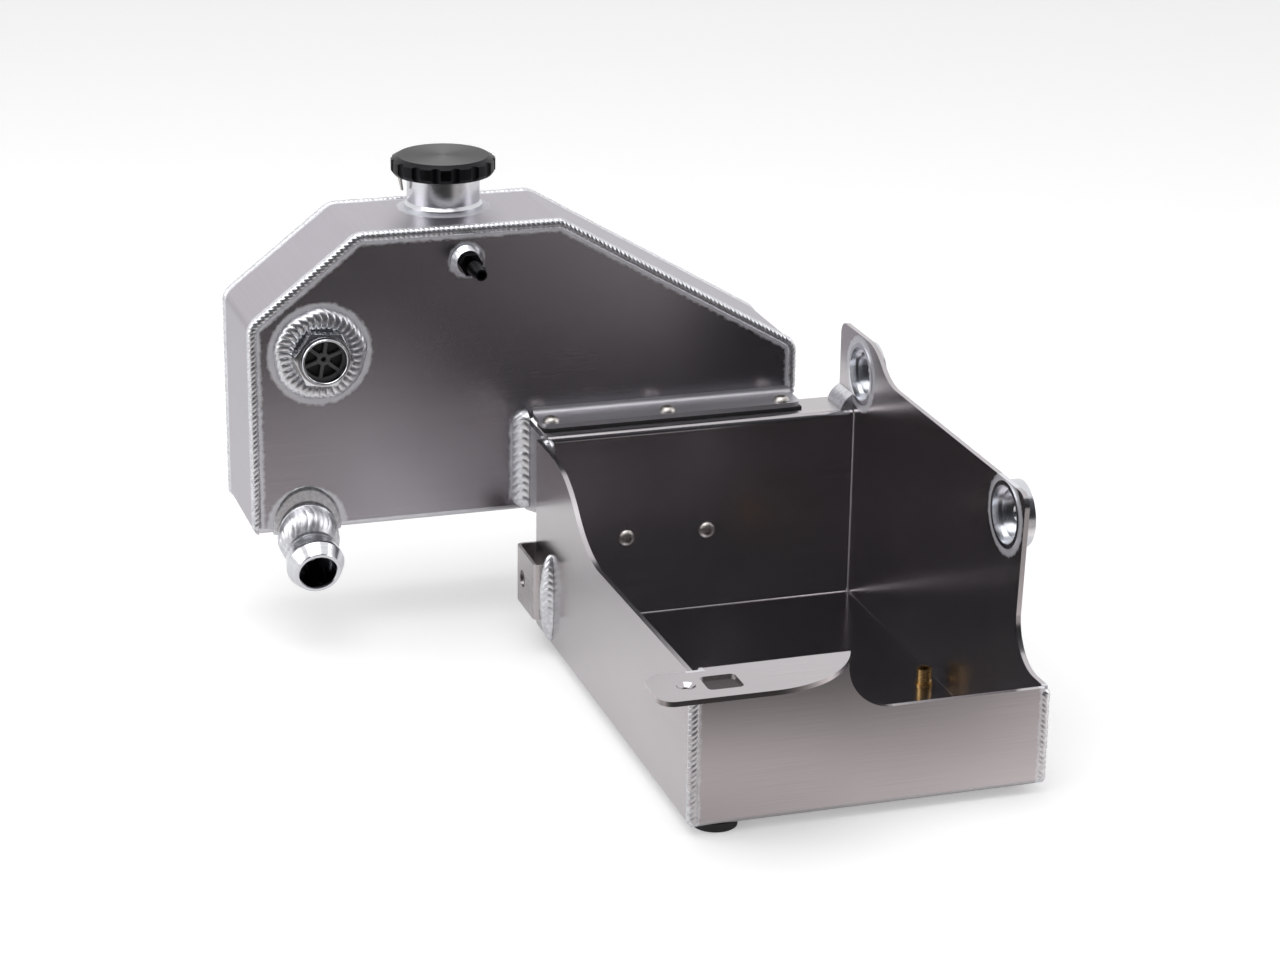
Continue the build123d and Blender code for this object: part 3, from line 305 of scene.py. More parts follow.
@dataclass(frozen=True)
class SheetFinish:
    """Rolled aluminium sheet with grain, faint stains and pale bands beside the welds.

    The band ends at heat_width from the weld, over heat_edge, and its edge wanders by heat_wander.
    The tones are the darkest and lightest share of the colour in the grain and the stains.
    """

    name: str
    color: Triple
    roughness: float
    grain: Grain
    heat: tuple = ()
    heat_width: float = 7.5 * MM
    heat_edge: float = 2.4 * MM
    heat_wander: float = 3.5 * MM
    heat_cycles: float = 260.0
    pale: Triple = (0.74, 0.74, 0.78)
    pale_roughness: float = 0.22
    pale_dullness: float = 0.35
    stain_cycles: float = 9.0
    stain_share: float = 0.45
    stain_roughness: float = 0.07
    grain_roughness: float = 0.06
    grain_depth: float = 0.004 * MM
    tones: Pair = (0.92, 1.06)

    def material(self) -> Material:
        """Build the sheet's material.

        Returns:
            The material.
        """
        shader = Shader(self.name, self.color, 1.0, self.roughness)
        lines = shader.noise(self.grain.value, 3.0)
        stains = shader.noise(self.stain_cycles, 4.0)
        stained = shader.math("MULTIPLY", stains, self.stain_share)
        tone = shader.math("MULTIPLY_ADD", lines, 1.0 - self.stain_share, stained)
        dark, light = (shade(self.color, share) for share in self.tones)
        color = shader.blend(shader.spread(tone, NOISE_MIDDLE), dark, light)
        smooth = self.roughness - self.grain_roughness
        rough = shader.math("MULTIPLY_ADD", lines, self.grain_roughness, smooth)
        rough = shader.math("MULTIPLY_ADD", stains, self.stain_roughness, rough)
        metal: object = 1.0
        if self.heat:
            reach = self.heat[0].distance(shader)
            for weld in self.heat[1:]:
                reach = shader.math("MINIMUM", reach, weld.distance(shader))
            ragged = shader.noise(self.heat_cycles, 3.0)
            edge = shader.math("MULTIPLY_ADD", ragged, self.heat_wander, reach)
            near = shader.spread(edge, (self.heat_width, self.heat_width + self.heat_edge), (1.0, 0.0))
            color = shader.blend(near, color, self.pale)
            rough = shader.math("MULTIPLY_ADD", near, self.pale_roughness, rough)
            metal = shader.math("MULTIPLY_ADD", near, -self.pale_dullness, 1.0)
        shader.feed({"Base Color": color, "Roughness": rough, "Metallic": metal})
        shader.bump(lines, self.grain_depth)
        return shader.material


@dataclass(frozen=True)
class WeldFinish:
    """Bright weld metal, fine grained, with duller patches."""

    name: str
    color: Triple = (0.74, 0.745, 0.775)
    roughness: float = 0.31
    metallic: float = 0.95
    dull: float = 0.78
    patch_cycles: float = 420.0
    patch_range: Pair = (0.35, 0.65)
    patch_roughness: Pair = (-0.09, 0.20)
    fine_cycles: float = 1400.0
    fine_depth: float = 0.012 * MM

    def material(self) -> Material:
        """Build the weld's material.

        Returns:
            The material.
        """
        shader = Shader(self.name, self.color, self.metallic, self.roughness)
        patches = shader.noise(self.patch_cycles, 4.0)
        bright = shader.spread(patches, self.patch_range)
        low, swing = self.patch_roughness
        rough = shader.math("MULTIPLY_ADD", patches, swing, self.roughness + low)
        color = shader.blend(bright, shade(self.color, self.dull), self.color)
        shader.feed({"Base Color": color, "Roughness": rough})
        shader.bump(shader.noise(self.fine_cycles, 2.0), self.fine_depth)
        return shader.material


@dataclass(frozen=True)
class TurnedFinish:
    """Metal turned on a lathe: fine rings round an axis, over its faces and along its length."""

    name: str
    color: Triple
    roughness: float
    centre: Triple
    axis: Triple
    pitch: float = 0.22 * MM
    depth: float = 0.002 * MM
    dark: float = 0.90
    streak_cycles: float = 1900.0
    streak_roughness: float = 0.08
    anisotropic: float = 0.55

    def material(self) -> Material:
        """Build the turned material.

        Rings are a sine of the radius plus the place along the axis; their streaks are noise on it.

        Returns:
            The material.
        """
        shader = Shader(self.name, self.color, 1.0, self.roughness)
        offset = shader.vector("SUBTRACT", shader.place(), self.centre)
        turned = shader.vector("CROSS_PRODUCT", offset, self.axis)
        along = shader.measure("DOT_PRODUCT", offset, self.axis)
        travel = shader.math("ADD", shader.measure("LENGTH", turned), along)
        wave = shader.math("SINE", shader.math("MULTIPLY", travel, 2.0 * math.pi / self.pitch))
        uneven = shader.node("ShaderNodeTexNoise", noise_dimensions="1D")
        shader.link(1.0, uneven.inputs["Scale"])
        shader.link(3.0, uneven.inputs["Detail"])
        shader.link(shader.math("MULTIPLY", travel, self.streak_cycles), uneven.inputs["W"])
        streak = shader.spread(uneven.outputs["Fac"], NOISE_MIDDLE)
        smooth = self.roughness - 0.5 * self.streak_roughness
        shader.feed({
            "Base Color": shader.blend(streak, shade(self.color, self.dark), self.color),
            "Roughness": shader.math("MULTIPLY_ADD", streak, self.streak_roughness, smooth),
            "Anisotropic": self.anisotropic,
            "Tangent": shader.vector("NORMALIZE", turned),
        })
        shader.bump(wave, self.depth, 0.6)
        return shader.material


@dataclass(frozen=True)
class PlainFinish:
    """Rubber, steel or brass with a fine uneven surface."""

    name: str
    color: Triple
    roughness: float
    metallic: float = 0.0
    grit_cycles: float = 1500.0
    grit_roughness: float = 0.16
    depth: float = 0.02 * MM
    tones: Pair = (0.75, 1.2)

    def material(self) -> Material:
        """Build the material.

        Returns:
            The material.
        """
        shader = Shader(self.name, self.color, self.metallic, self.roughness)
        grit = shader.noise(self.grit_cycles, 3.0)
        dark, light = (shade(self.color, share) for share in self.tones)
        smooth = self.roughness - 0.5 * self.grit_roughness
        rough = shader.math("MULTIPLY_ADD", grit, self.grit_roughness, smooth)
        shader.feed({"Base Color": shader.blend(grit, dark, light), "Roughness": rough})
        shader.bump(grit, self.depth)
        return shader.material


@dataclass(frozen=True)
class PaintedWellShade:
    """Moulded material with painted shade: nearly black at the bottom of its openings, along Y."""

    name: str
    color: Triple
    roughness: float
    bottom: float
    top: float
    # Share of the colour left at the bottom of the openings: painted shade
    deep: float = 0.06

    def material(self) -> Material:
        """Build the material.

        Returns:
            The material.
        """
        shader = Shader(self.name, self.color, 0.0, self.roughness)
        forward = shader.measure("DOT_PRODUCT", shader.place(), TO_FRONT)
        # Darker towards the bottom of the openings: painted shade
        unshaded_share = shader.spread(forward, (-self.bottom, -self.top))
        shader.feed({"Base Color": shader.blend(unshaded_share, shade(self.color, self.deep), self.color)})
        return shader.material


def unit(vectors: Array) -> Array:
    """Vectors scaled to length one along their last axis."""
    length = np.linalg.norm(vectors, axis=-1, keepdims=True)
    return vectors / np.maximum(length, 1e-12)


def full_turn(count: int) -> Array:
    """Even angles round a full turn."""
    return np.linspace(0.0, 2.0 * math.pi, count, endpoint=False)


def rounded_path(points: Array, radii: Sequence[float], closed: bool, step: float) -> Array:
    """Sample a polyline whose corners are rounded by arcs.

    Each corner becomes an arc that meets both runs at the same distance from the corner, and the
    whole line is then sampled at even steps.

    Args:
        points: Corners, one row each, in the plane.
        radii: Radius at each corner; the ends of an open line take none.
        closed: Whether the last corner joins the first.
        step: Distance between samples.

    Returns:
        The samples, one row each.
    """
    count = len(points)
    chain = []
    for index, (corner, radius) in enumerate(zip(points, radii)):
        if not closed and index in (0, count - 1):
            chain.append(corner[None, :])
            continue
        before = unit(points[index - 1] - corner)
        after = unit(points[(index + 1) % count] - corner)
        half = 0.5 * math.acos(float(np.clip(before @ after, -1.0, 1.0)))
        reach = radius / math.tan(half)
        middle = corner + unit(before + after) * radius / math.sin(half)
        share = np.linspace(0.0, 1.0, 13)[:, None]
        chord = (corner + before * reach) * (1.0 - share) + (corner + after * reach) * share
        chain.append(middle + unit(chord - middle) * radius)
    line = np.vstack(chain + ([chain[0][:1]] if closed else []))
    length = np.concatenate([[0.0], np.cumsum(np.linalg.norm(np.diff(line, axis=0), axis=1))])
    samples = max(2, int(round(length[-1] / step)) + 1)
    even = np.linspace(0.0, length[-1], samples)
    if closed:
        even = even[:-1]
    return np.stack([np.interp(even, length, line[:, axis]) for axis in range(line.shape[1])], axis=1)


def scale_ripple(phase: Array) -> Array:
    """Height of overlapping weld scales, from -0.6 in a groove to 0.4 on a scale.

    Each scale is a power of a half sine wave, so that neighbours meet in a sharp groove. The wave
    itself runs on a power of the way along the scale, so that the scale leans to one side.

    Args:
        phase: Place along the bead, counted in scales.

    Returns:
        The height at each place.
    """
    lean, roundness, level = 0.8, 0.62, 0.6
    part = phase - np.floor(phase)
    return np.sin(math.pi * part ** lean) ** roundness - level


def round_ends(travel: Array, reach: float, least: float) -> Array:
    """Share of a bead's full height where its ends are quarter circles.

    Args:
        travel: Distances along the bead, from its start to its end.
        reach: Length of each rounded end.
        least: Smallest square of the share, so that the tips aren't single points.

    Returns:
        One share for each distance.
    """
    end = np.clip(np.minimum(travel, travel[-1] - travel) / reach, 0.0, 1.0)
    return np.sqrt(np.clip(1.0 - (1.0 - end) ** 2, least, 1.0))


def sweep(
    centre: Array, radius: Array, angle: Array, first: Sequence, second: Sequence
) -> Array:
    """Carry a section along a line: centre(s) + radius(s, a) * (cos a * first(s) + sin a * second(s)).

    Args:
        centre: Points of the line, one row each.
        radius: Distances from the line, rows by angles.
        angle: Angles of the section.
        first: Direction of angle zero, one for all rows or one for each.
        second: Direction of the right angle, likewise.

    Returns:
        Points, rows by angles by three.
    """
    middle, along, across = (np.atleast_2d(value)[:, None, :] for value in (centre, first, second))
    spoke = np.cos(angle)[:, None] * along + np.sin(angle)[:, None] * across
    return middle + radius[:, :, None] * spoke


def grid_mesh(name: str, grid: Array, wrap_rows: bool) -> bpy.types.Object:
    """Put a grid of points into a mesh of quads, whose last column joins the first.

    Args:
        name: The piece's name.
        grid: Points, rows by columns by three.
        wrap_rows: Whether the last row joins the first too.

    Returns:
        The new object, with outward normals.
    """
    rows, columns = grid.shape[:2]
    row = np.arange(rows if wrap_rows else rows - 1)
    r0, c0 = np.meshgrid(row, np.arange(columns), indexing="ij")
    r1 = (r0 + 1) % rows
    c1 = (c0 + 1) % columns
    corners = ((r0, c0), (r1, c0), (r1, c1), (r0, c1))
    quads = np.stack([r * columns + c for r, c in corners], axis=-1).reshape(-1, 4)
    mesh = bpy.data.meshes.new(name)
    mesh.vertices.add(rows * columns)
    mesh.vertices.foreach_set("co", grid.reshape(-1).astype(np.float32))
    mesh.loops.add(quads.size)
    mesh.loops.foreach_set("vertex_index", quads.reshape(-1).astype(np.int32))
    mesh.polygons.add(len(quads))
    mesh.polygons.foreach_set("loop_start", np.arange(0, quads.size, 4, dtype=np.int32))
    mesh.update(calc_edges=True)
    mesh.validate()
    piece = bpy.data.objects.new(name, mesh)
    bpy.context.scene.collection.objects.link(piece)
    bpy.context.view_layer.objects.active = piece
    piece.select_set(True)
    bpy.ops.object.mode_set(mode="EDIT")
    bpy.ops.mesh.select_all(action="SELECT")
    bpy.ops.mesh.remove_doubles(threshold=1e-6)
    bpy.ops.mesh.normals_make_consistent(inside=False)
    bpy.ops.object.mode_set(mode="OBJECT")
    piece.select_set(False)
    piece.data.polygons.foreach_set("use_smooth", [True] * len(piece.data.polygons))
    return piece


def dress(piece: bpy.types.Object, material: Material) -> None:
    """Give every slot of a piece one material."""
    if piece.data.materials:
        for index in range(len(piece.data.materials)):
            piece.data.materials[index] = material
    else:
        piece.data.materials.append(material)


def dress_nodes(material: Material, *nodes: str) -> None:
    """Give CAD nodes a material."""
    for node in nodes:
        dress(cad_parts[node], material)
        log.info("node %s wears %s", node, material.name)


@dataclass
class Surface:
    """A new piece that stands for a CAD node; each kind of piece works out its own grid of points.

    Each kind says how its name ends, its slot, whether its last row joins its first, and past which
    angle its edges are hard, if at all.
    """

    node: str
    ending: ClassVar[str] = "scales"
    slot: ClassVar[str] = "weld"
    wrap: ClassVar[bool] = True
    hard_angle: ClassVar[Optional[float]] = None

    def grid(self) -> Array:
        """Points of the surface, rows by columns by three."""
        raise NotImplementedError

    def build(self, material: Material) -> bpy.types.Object:
        """Build the piece and let it stand for its node.

        Args:
            material: Its finish.

        Returns:
            The piece.
        """
        piece = grid_mesh(f"{self.node}_{self.ending}", self.grid(), self.wrap)
        if self.hard_angle is not None:
            piece.data.set_sharp_from_angle(angle=self.hard_angle)
        dress(piece, material)
        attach(piece, ROOT)
        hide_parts(self.node)
        log.info("piece %s: %d faces", piece.name, len(piece.data.polygons))
        return piece


@dataclass
class CornerBead(Surface):
    """A round weld bead along the outer corner between two sheets.

    The bead's section is part of a circle whose centre lies inside both faces. The surface is
    centre(s) + radius(s, a) * (cos a * crown + sin a * across), where the radius carries the scales
    and crown points out of the corner.
    """

    line: Array
    outward: Array | Triple
    inward: Triple
    closed: bool = False
    radius: float = 3.3 * MM
    inset: float = 2.4 * MM
    pitch: float = 3.2 * MM
    ripple: float = 0.14
    slant: float = 0.62
    bow: float = 0.45
    half_angle: float = math.radians(112.0)
    sway: float = 0.02
    sway_waves: Pair = (610.0, 237.0)

    @property
    def wrap(self) -> bool:
        """Whether the last section joins the first."""
        return self.closed

    def grid(self) -> Array:
        """Work out the bead.

        Returns:
            One section for each sample of the line.
        """
        outward, inward = (np.broadcast_to(value, self.line.shape) for value in (self.outward, self.inward))
        steps = np.linalg.norm(np.diff(self.line, axis=0), axis=1)
        travel = np.concatenate([[0.0], np.cumsum(steps)])
        total = travel[-1] + (steps[0] if self.closed else 0.0)
        pitch = total / round(total / self.pitch)
        angle = np.linspace(-self.half_angle, self.half_angle, 21)
        rise = np.cos(angle)
        phase = travel[:, None] / pitch + self.slant * np.sin(angle) + self.bow * rise
        scales = self.ripple * scale_ripple(phase) * np.clip(rise, 0.0, 1.0) ** 0.5
        fast, slow = self.sway_waves
        sway = self.sway * (np.sin(travel * fast) + np.sin(travel * slow + 1.0))
        radius = self.radius * (1.0 + scales + sway[:, None])
        if not self.closed:
            radius = radius * round_ends(travel, self.radius, 1e-6)[:, None]
        centre = self.line + self.inset * (inward - outward)
        return sweep(centre, radius, angle, unit(outward - inward), unit(outward + inward))


@dataclass
class FilletBead(Surface):
    """A wide bead in the corner between two sheets that stand square to each other.

    The surface is origin(s) + leg(s, a) * (cos a * first + sin a * second), a from 0 to a right
    angle. The leg dips by a share of sin 2a, so that the bead is fuller than a straight chamfer. The
    scales are arcs: across the bead their phase falls by slant * 4 cos a (1 - cos a) + lean * sin a.
    """

    wrap: ClassVar[bool] = False
    start: Triple
    end: Triple
    leg: float
    pitch: float
    spindle: bool = False
    first: Triple = TO_LEFT
    second: Triple = TO_FRONT
    dip: float = 0.13
    ripple: float = 0.075
    slant: float = 0.55
    lean: float = 0.60
    sway: float = 0.12 * MM
    sway_wave: float = 410.0
    rows_per_scale: float = 9.0

    def grid(self) -> Array:
        """Work out the bead.

        Returns:
            Sections from end to end, each with the corner's own point first.
        """
        start, run = np.array(self.start), np.subtract(self.end, self.start)
        length = float(np.linalg.norm(run))
        travel = np.linspace(0.0, length, max(40, int(length / (self.pitch / self.rows_per_scale))))
        share = travel / length
        angle = np.radians(np.linspace(0.0, 90.0, 25))
        bulge = np.sin(2.0 * angle)
        hump = 4.0 * np.cos(angle) * (1.0 - np.cos(angle))
        phase = travel[:, None] / self.pitch - (self.slant * hump + self.lean * np.sin(angle))
        leg = self.leg * (1.0 - self.dip * bulge + self.ripple * scale_ripple(phase) * bulge ** 0.4)
        leg = leg + self.sway * np.sin(travel * self.sway_wave)[:, None]
        if self.spindle:
            taper = np.sqrt(np.clip(4.0 * share * (1.0 - share), 0.0, 1.0))
        else:
            taper = round_ends(travel, 0.8 * self.leg, 1e-4)
        origin = start + run * share[:, None]
        shell = sweep(origin, leg * taper[:, None], angle, self.first, self.second)
        return np.concatenate([origin[:, None, :], shell], axis=1)


@dataclass
class PortRing(Surface):
    """The weld that runs round the level port.

    The surface is line(t) + width * (1 + cos a) / 2 * away + height * sin a * forward, a from 0 to 180
    degrees, with scales that curve across it. The width swings five and nine times round the port.
    """

    node: str = "level_port_weld"
    inner: float = 15.2 * MM
    width: float = 14.2 * MM
    height: float = 5.9 * MM
    scales: int = 36
    ripple: float = 0.15
    slant: float = 1.3
    uneven: Pair = (0.06, 0.04)

    def grid(self) -> Array:
        """Work out the ring.

        Returns:
            One section for each angle round the port.
        """
        turn = full_turn(720)
        away = np.stack([np.cos(turn), np.zeros(len(turn)), np.sin(turn)], axis=1)
        angle = np.radians(np.linspace(0.0, 180.0, 19))
        lift = np.sin(angle)
        phase = turn[:, None] / (2.0 * math.pi) * self.scales + self.slant * lift
        swell = 1.0 + self.ripple * scale_ripple(phase) * np.clip(lift, 0.0, 1.0) ** 0.5
        five, nine = self.uneven
        uneven = 1.0 + five * np.sin(5.0 * turn + 0.7) + nine * np.sin(9.0 * turn)
        wide = 0.5 * self.width * np.cos(angle) * uneven[:, None] * (0.5 + 0.5 * swell)
        line = np.array(PORT) + self.inner * away
        sideways = (0.5 * self.width + wide)[:, :, None] * away[:, None, :]
        return line[:, None, :] + sideways + (self.height * lift * swell)[:, :, None] * np.array(TO_FRONT)


@dataclass
class PortFitting(Surface):
    """The port's screwed fitting: a hexagon with a chamfer, then the hose lip.

    A closed profile of radius and height is carried round the port's axis. Between two heights the
    radius is the smaller of the profile's and flat / cos(u), where u is the angle from the middle of
    the nearest flat.
    """

    ending: ClassVar[str] = "turned"
    slot: ClassVar[str] = "turned"
    hard_angle: ClassVar[Optional[float]] = HARD_ANGLE
    # Radius and height over the tank's front, in millimetres
    profile: ClassVar[tuple] = (
        (13.2, -2.0),
        (15.9, -2.0),
        (15.9, 3.0),
        (19.6, 3.0),
        (19.6, 12.2),
        (16.4, 13.9),
        (14.9, 13.9),
        (14.9, 17.9),
        (14.4, 18.5),
        (13.7, 18.5),
        (13.2, 17.9),
    )
    node: str = "level_port_fitting"
    rounding: float = 0.15 * MM
    flat: float = 16.7 * MM
    flat_heights: Pair = (2.9 * MM, 13.95 * MM)
    turn: float = math.radians(-6.0)

    def grid(self) -> Array:
        """Work out the fitting.

        Returns:
            One ring for each sample of the profile.
        """
        corners = np.array(self.profile) * MM
        line = rounded_path(corners, [self.rounding] * len(corners), True, 0.3 * MM)
        radius, height = line[:, :1], line[:, 1:]
        turn = full_turn(360)
        from_flat = np.mod(turn - self.turn, math.pi / 3.0) - math.pi / 6.0
        low, high = self.flat_heights
        bound = np.where((height >= low) & (height <= high), self.flat / np.cos(from_flat), np.inf)
        centre = np.array(PORT) + height * np.array(TO_FRONT)
        return sweep(centre, np.minimum(radius, bound), turn, TO_RIGHT, UP)


@dataclass(frozen=True)
class OutletElbow:
    """The axis of the hose outlet, a short elbow out of the tank's lower front fold.

    It lies in a plane across the tank: straight, then an arc from steep to nearly level, then
    straight to the mouth.
    """

    x: float = OUTLET_X
    mouth_y: float = 295.6 * MM
    mouth_z: float = 56.0 * MM
    level: float = math.radians(17.0)
    steep: float = math.radians(50.0)
    bend_radius: float = 20.0 * MM
    straight: float = 24.0 * MM

    @property
    def bend(self) -> float:
        """Length of the arc along the axis."""
        return self.bend_radius * (self.steep - self.level)

    @property
    def length(self) -> float:
        """Length of the axis from the start of the arc to the mouth."""
        return self.bend + self.straight

    @property
    def mouth(self) -> Triple:
        """Middle of the mouth."""
        return (self.x, self.mouth_y, self.mouth_z)

    @property
    def aim(self) -> Triple:
        """Direction in which the mouth faces."""
        return (0.0, -math.cos(self.level), -math.sin(self.level))

    def around(self, radius: Array, travel: Array, turn: Array) -> Array:
        """Rings of points round the axis: centre(s) + radius(s) * (cos t * x + sin t * rise(s)).

        Args:
            radius: Radius of each ring.
            travel: Place of each ring along the axis, from the start of the arc.
            turn: Angles round the axis.

        Returns:
            Points, rings by angles by three.
        """
        on_arc = np.clip(travel, 0.0, self.bend)
        beyond = travel - on_arc
        angle = self.steep - on_arc / self.bend_radius
        arc_y = self.mouth_y + self.straight * math.cos(self.level)
        arc_z = self.mouth_z + self.straight * math.sin(self.level)
        y = arc_y + self.bend_radius * (np.sin(angle) - math.sin(self.level)) - beyond * np.cos(angle)
        z = arc_z + self.bend_radius * (math.cos(self.level) - np.cos(angle)) - beyond * np.sin(angle)
        centre = np.stack([np.full_like(y, self.x), y, z], axis=-1)
        rise = np.stack([np.zeros_like(angle), -np.sin(angle), np.cos(angle)], axis=-1)
        return sweep(centre, radius[:, None], turn, TO_RIGHT, rise)


@dataclass
class OutletTube(Surface):
    """The outlet's tube: a closed profile of radius and place carried round the elbow's axis."""

    ending: ClassVar[str] = "tube"
    slot: ClassVar[str] = "turned"
    hard_angle: ClassVar[Optional[float]] = math.radians(14.0)
    # Radius and distance from the mouth, in millimetres, from the neck over the hose edge to the bore
    profile: ClassVar[tuple] = (
        (12.6, 26.0),
        (15.6, 24.5),
        (15.8, 19.5),
        (16.9, 18.3),
        (18.3, 9.6),
        (18.3, 8.2),
        (15.1, 1.6),
        (14.3, 0.0),
        (12.4, 0.0),
        (11.7, 0.8),
    )
    node: str = "outlet_spigot"
    elbow: OutletElbow = OutletElbow()
    root: float = 3.0 * MM
    rounding: float = 0.3 * MM

    def grid(self) -> Array:
        """Work out the tube.

        Returns:
            One ring for each sample of the profile, out along the outside and back along the bore.
        """
        outer = np.array(self.profile) * MM
        outer[:, 1] = self.elbow.length - outer[:, 1]
        inner_end = [(outer[-1, 0], -self.root), (outer[0, 0], -self.root)]
        corners = np.vstack([inner_end, outer])
        line = rounded_path(corners, [self.rounding] * len(corners), True, 0.4 * MM)
        return self.elbow.around(line[:, 0], line[:, 1], full_turn(192))


@dataclass(frozen=True)
class Foot:
    """A line round the outlet on the tank: an arc on its front and a half ellipse under its floor.

    Its sizes are in millimetres: the arc's half width and half height, the height of its middle, how
    far the half ellipse reaches back, and how far the line lies off the sheet.
    """

    wide: float
    high: float
    middle: float
    deep: float
    proud: float

    def line(self, turn: Array) -> Array:
        """Points of the line.

        Args:
            turn: Angles round the outlet, the arc first.

        Returns:
            One point for each angle.
        """
        wide, high, middle, deep, proud = (
            size * MM for size in (self.wide, self.high, self.middle, self.deep, self.proud)
        )
        dip = math.asin((TANK_FLOOR - middle) / high)
        upper = dip + (math.pi - 2.0 * dip) * np.clip(turn / math.pi, 0.0, 1.0)
        front = np.stack([
            OUTLET_X + wide * np.cos(upper),
            np.full_like(turn, TANK_FRONT - proud),
            middle + high * np.sin(upper),
        ], axis=-1)
        under = np.stack([
            OUTLET_X + wide * math.cos(dip) * np.cos(turn),
            TANK_FRONT + deep * np.abs(np.sin(turn)),
            np.full_like(turn, TANK_FLOOR - proud),
        ], axis=-1)
        return np.where((turn < math.pi)[:, None], front, under)


@dataclass
class OutletCollar(Surface):
    """The weld at the outlet's root: a thin apron on the tank, then a collar with scales up the tube.

    The collar is shoulder + (ring - shoulder) * s + lift(s, t) * away, s from 0 to 1, where the lift
    is a half sine wave that carries the scales, and away points from the heart of the elbow.
    """

    ending: ClassVar[str] = "collar"
    node: str = "outlet_weld"
    elbow: OutletElbow = OutletElbow()
    rim: Foot = Foot(21.7, 27.0, 76.0, 22.8, 0.0)
    apron: Foot = Foot(21.4, 26.6, 76.0, 22.4, 0.5)
    shoulder: Foot = Foot(18.6, 19.6, 71.0, 19.5, 1.2)
    under_shoulder: Foot = Foot(18.0, 19.0, 71.0, 19.0, -0.3)
    under_apron: Foot = Foot(21.4, 26.6, 76.0, 22.4, -0.3)
    ring_radius: float = 15.95 * MM
    ring_back: float = 20.5 * MM
    scales: float = 24.0
    slant: float = 0.7
    bulge: float = 2.0 * MM
    scale_height: float = 0.55 * MM
    ring_sink: float = 0.3 * MM
    middle_sink: float = 1.6 * MM

    def grid(self) -> Array:
        """Work out the apron and the collar.

        Returns:
            Loops from the apron's rim over the collar to the tube, and back inside.
        """
        turn = full_turn(480)
        elbow = self.elbow
        shoulder = self.shoulder.line(turn)
        apron = self.apron.line(turn)
        ring = elbow.around(np.array([self.ring_radius]), np.array([elbow.length - self.ring_back]), turn)[0]
        heart = elbow.around(np.array([0.0]), np.array([0.5 * elbow.bend]), turn)[0]
        away = unit(0.5 * (shoulder + ring) - heart)
        share = np.linspace(0.0, 1.0, 17)[:, None]
        bow = np.sin(math.pi * share)
        scales = scale_ripple(turn * self.scales / (2.0 * math.pi) + self.slant * bow)
        patch = 0.5 + 0.5 * np.sin(turn * 4.0 + 0.9)
        lift = bow * (self.bulge + self.scale_height * scales * (0.35 + 0.65 * patch))
        collar = shoulder + (ring - shoulder) * share[..., None] + lift[..., None] * away
        flat = apron + (shoulder - apron) * np.array([0.0, 0.25, 0.5, 0.75])[:, None, None]
        inside = (
            ring - self.ring_sink * away,
            0.5 * (ring + shoulder) - self.middle_sink * away,
            self.under_shoulder.line(turn),
            self.under_apron.line(turn),
        )
        return np.concatenate([self.rim.line(turn)[None], flat, collar, np.stack(inside)], axis=0)


@dataclass
class StarInsert(Surface):
    """The black star in the level port: a hub and six arms, with an opening between each two arms.

    The front is a height field in polar coordinates: it falls back where the distances from the
    nearest arm's middle line, the hub and the rim are all more than their half widths.
    """

    ending: ClassVar[str] = "star"
    slot: ClassVar[str] = "turned"
    wrap: ClassVar[bool] = False
    hard_angle: ClassVar[Optional[float]] = HARD_ANGLE
    node: str = "level_port_insert"
    rim: float = 13.15 * MM
    ring: float = 11.9 * MM
    hub: float = 4.3 * MM
    hole: float = 1.5 * MM
    arm: float = 1.25 * MM
    face: float = 11.3 * MM
    depth: float = 2.7 * MM
    edge: float = 0.35 * MM
    rear: float = 8.5 * MM
    turn: float = math.radians(20.0)

    def grid(self) -> Array:
        """Work out the star.

        Returns:
            Circles of the front from the middle to the rim, then the rim's rear and its middle.
        """
        radius = np.linspace(0.0, self.rim, 70)[:, None]
        angle = full_turn(360)
        from_arm = np.mod(angle - self.turn + math.pi / 6.0, math.pi / 3.0) - math.pi / 6.0
        off_arm = np.abs(radius * np.sin(from_arm)) - self.arm
        gap = np.minimum(np.minimum(off_arm, radius - self.hub), self.ring - radius)
        gap = np.maximum(gap, self.hole - radius)
        fall = np.clip(gap / self.edge + 0.5, 0.0, 1.0)
        fall = fall * fall * (3.0 - 2.0 * fall)
        x = PORT[0] + radius * np.cos(angle)
        z = PORT[2] + radius * np.sin(angle)
        front = np.stack([x, PORT[1] - self.face + self.depth * fall, z], axis=-1)
        rear = front[-1:].copy()
        rear[:, :, 1] = PORT[1] - self.rear
        heart = np.broadcast_to((PORT[0], PORT[1] - self.rear, PORT[2]), rear.shape)
        return np.concatenate([front, rear, heart], axis=0)


@dataclass
class WeldLump(Surface):
    """The lump of weld at the top of the tray's left rear corner.

    It is an egg with soft scales: radii * (sin u cos v, sin u sin v, cos u), u from pole to pole.
    """

    ending: ClassVar[str] = "lump"
    wrap: ClassVar[bool] = False
    node: str = "back_left_weld"
    centre: Triple = (LEFT + 5.6 * MM, 289.2 * MM, 125.4 * MM)
    radii: Triple = (5.2 * MM, 5.0 * MM, 7.6 * MM)
    scale_rate: float = 1.6
    slant: float = 0.25
    ripple: float = 0.035

    def grid(self) -> Array:
        """Work out the egg.

        Returns:
            Circles from the upper pole to the lower.
        """
        down = np.linspace(0.0, math.pi, 49)[:, None]
        turn = full_turn(96)
        level, height = np.sin(down), np.broadcast_to(np.cos(down), (len(down), len(turn)))
        form = np.stack([level * np.cos(turn), level * np.sin(turn), height], axis=-1)
        scales = scale_ripple(down * self.scale_rate + self.slant * np.sin(turn)) * level ** 0.5
        return np.array(self.centre) + form * self.radii * (1.0 + self.ripple * scales)[..., None]


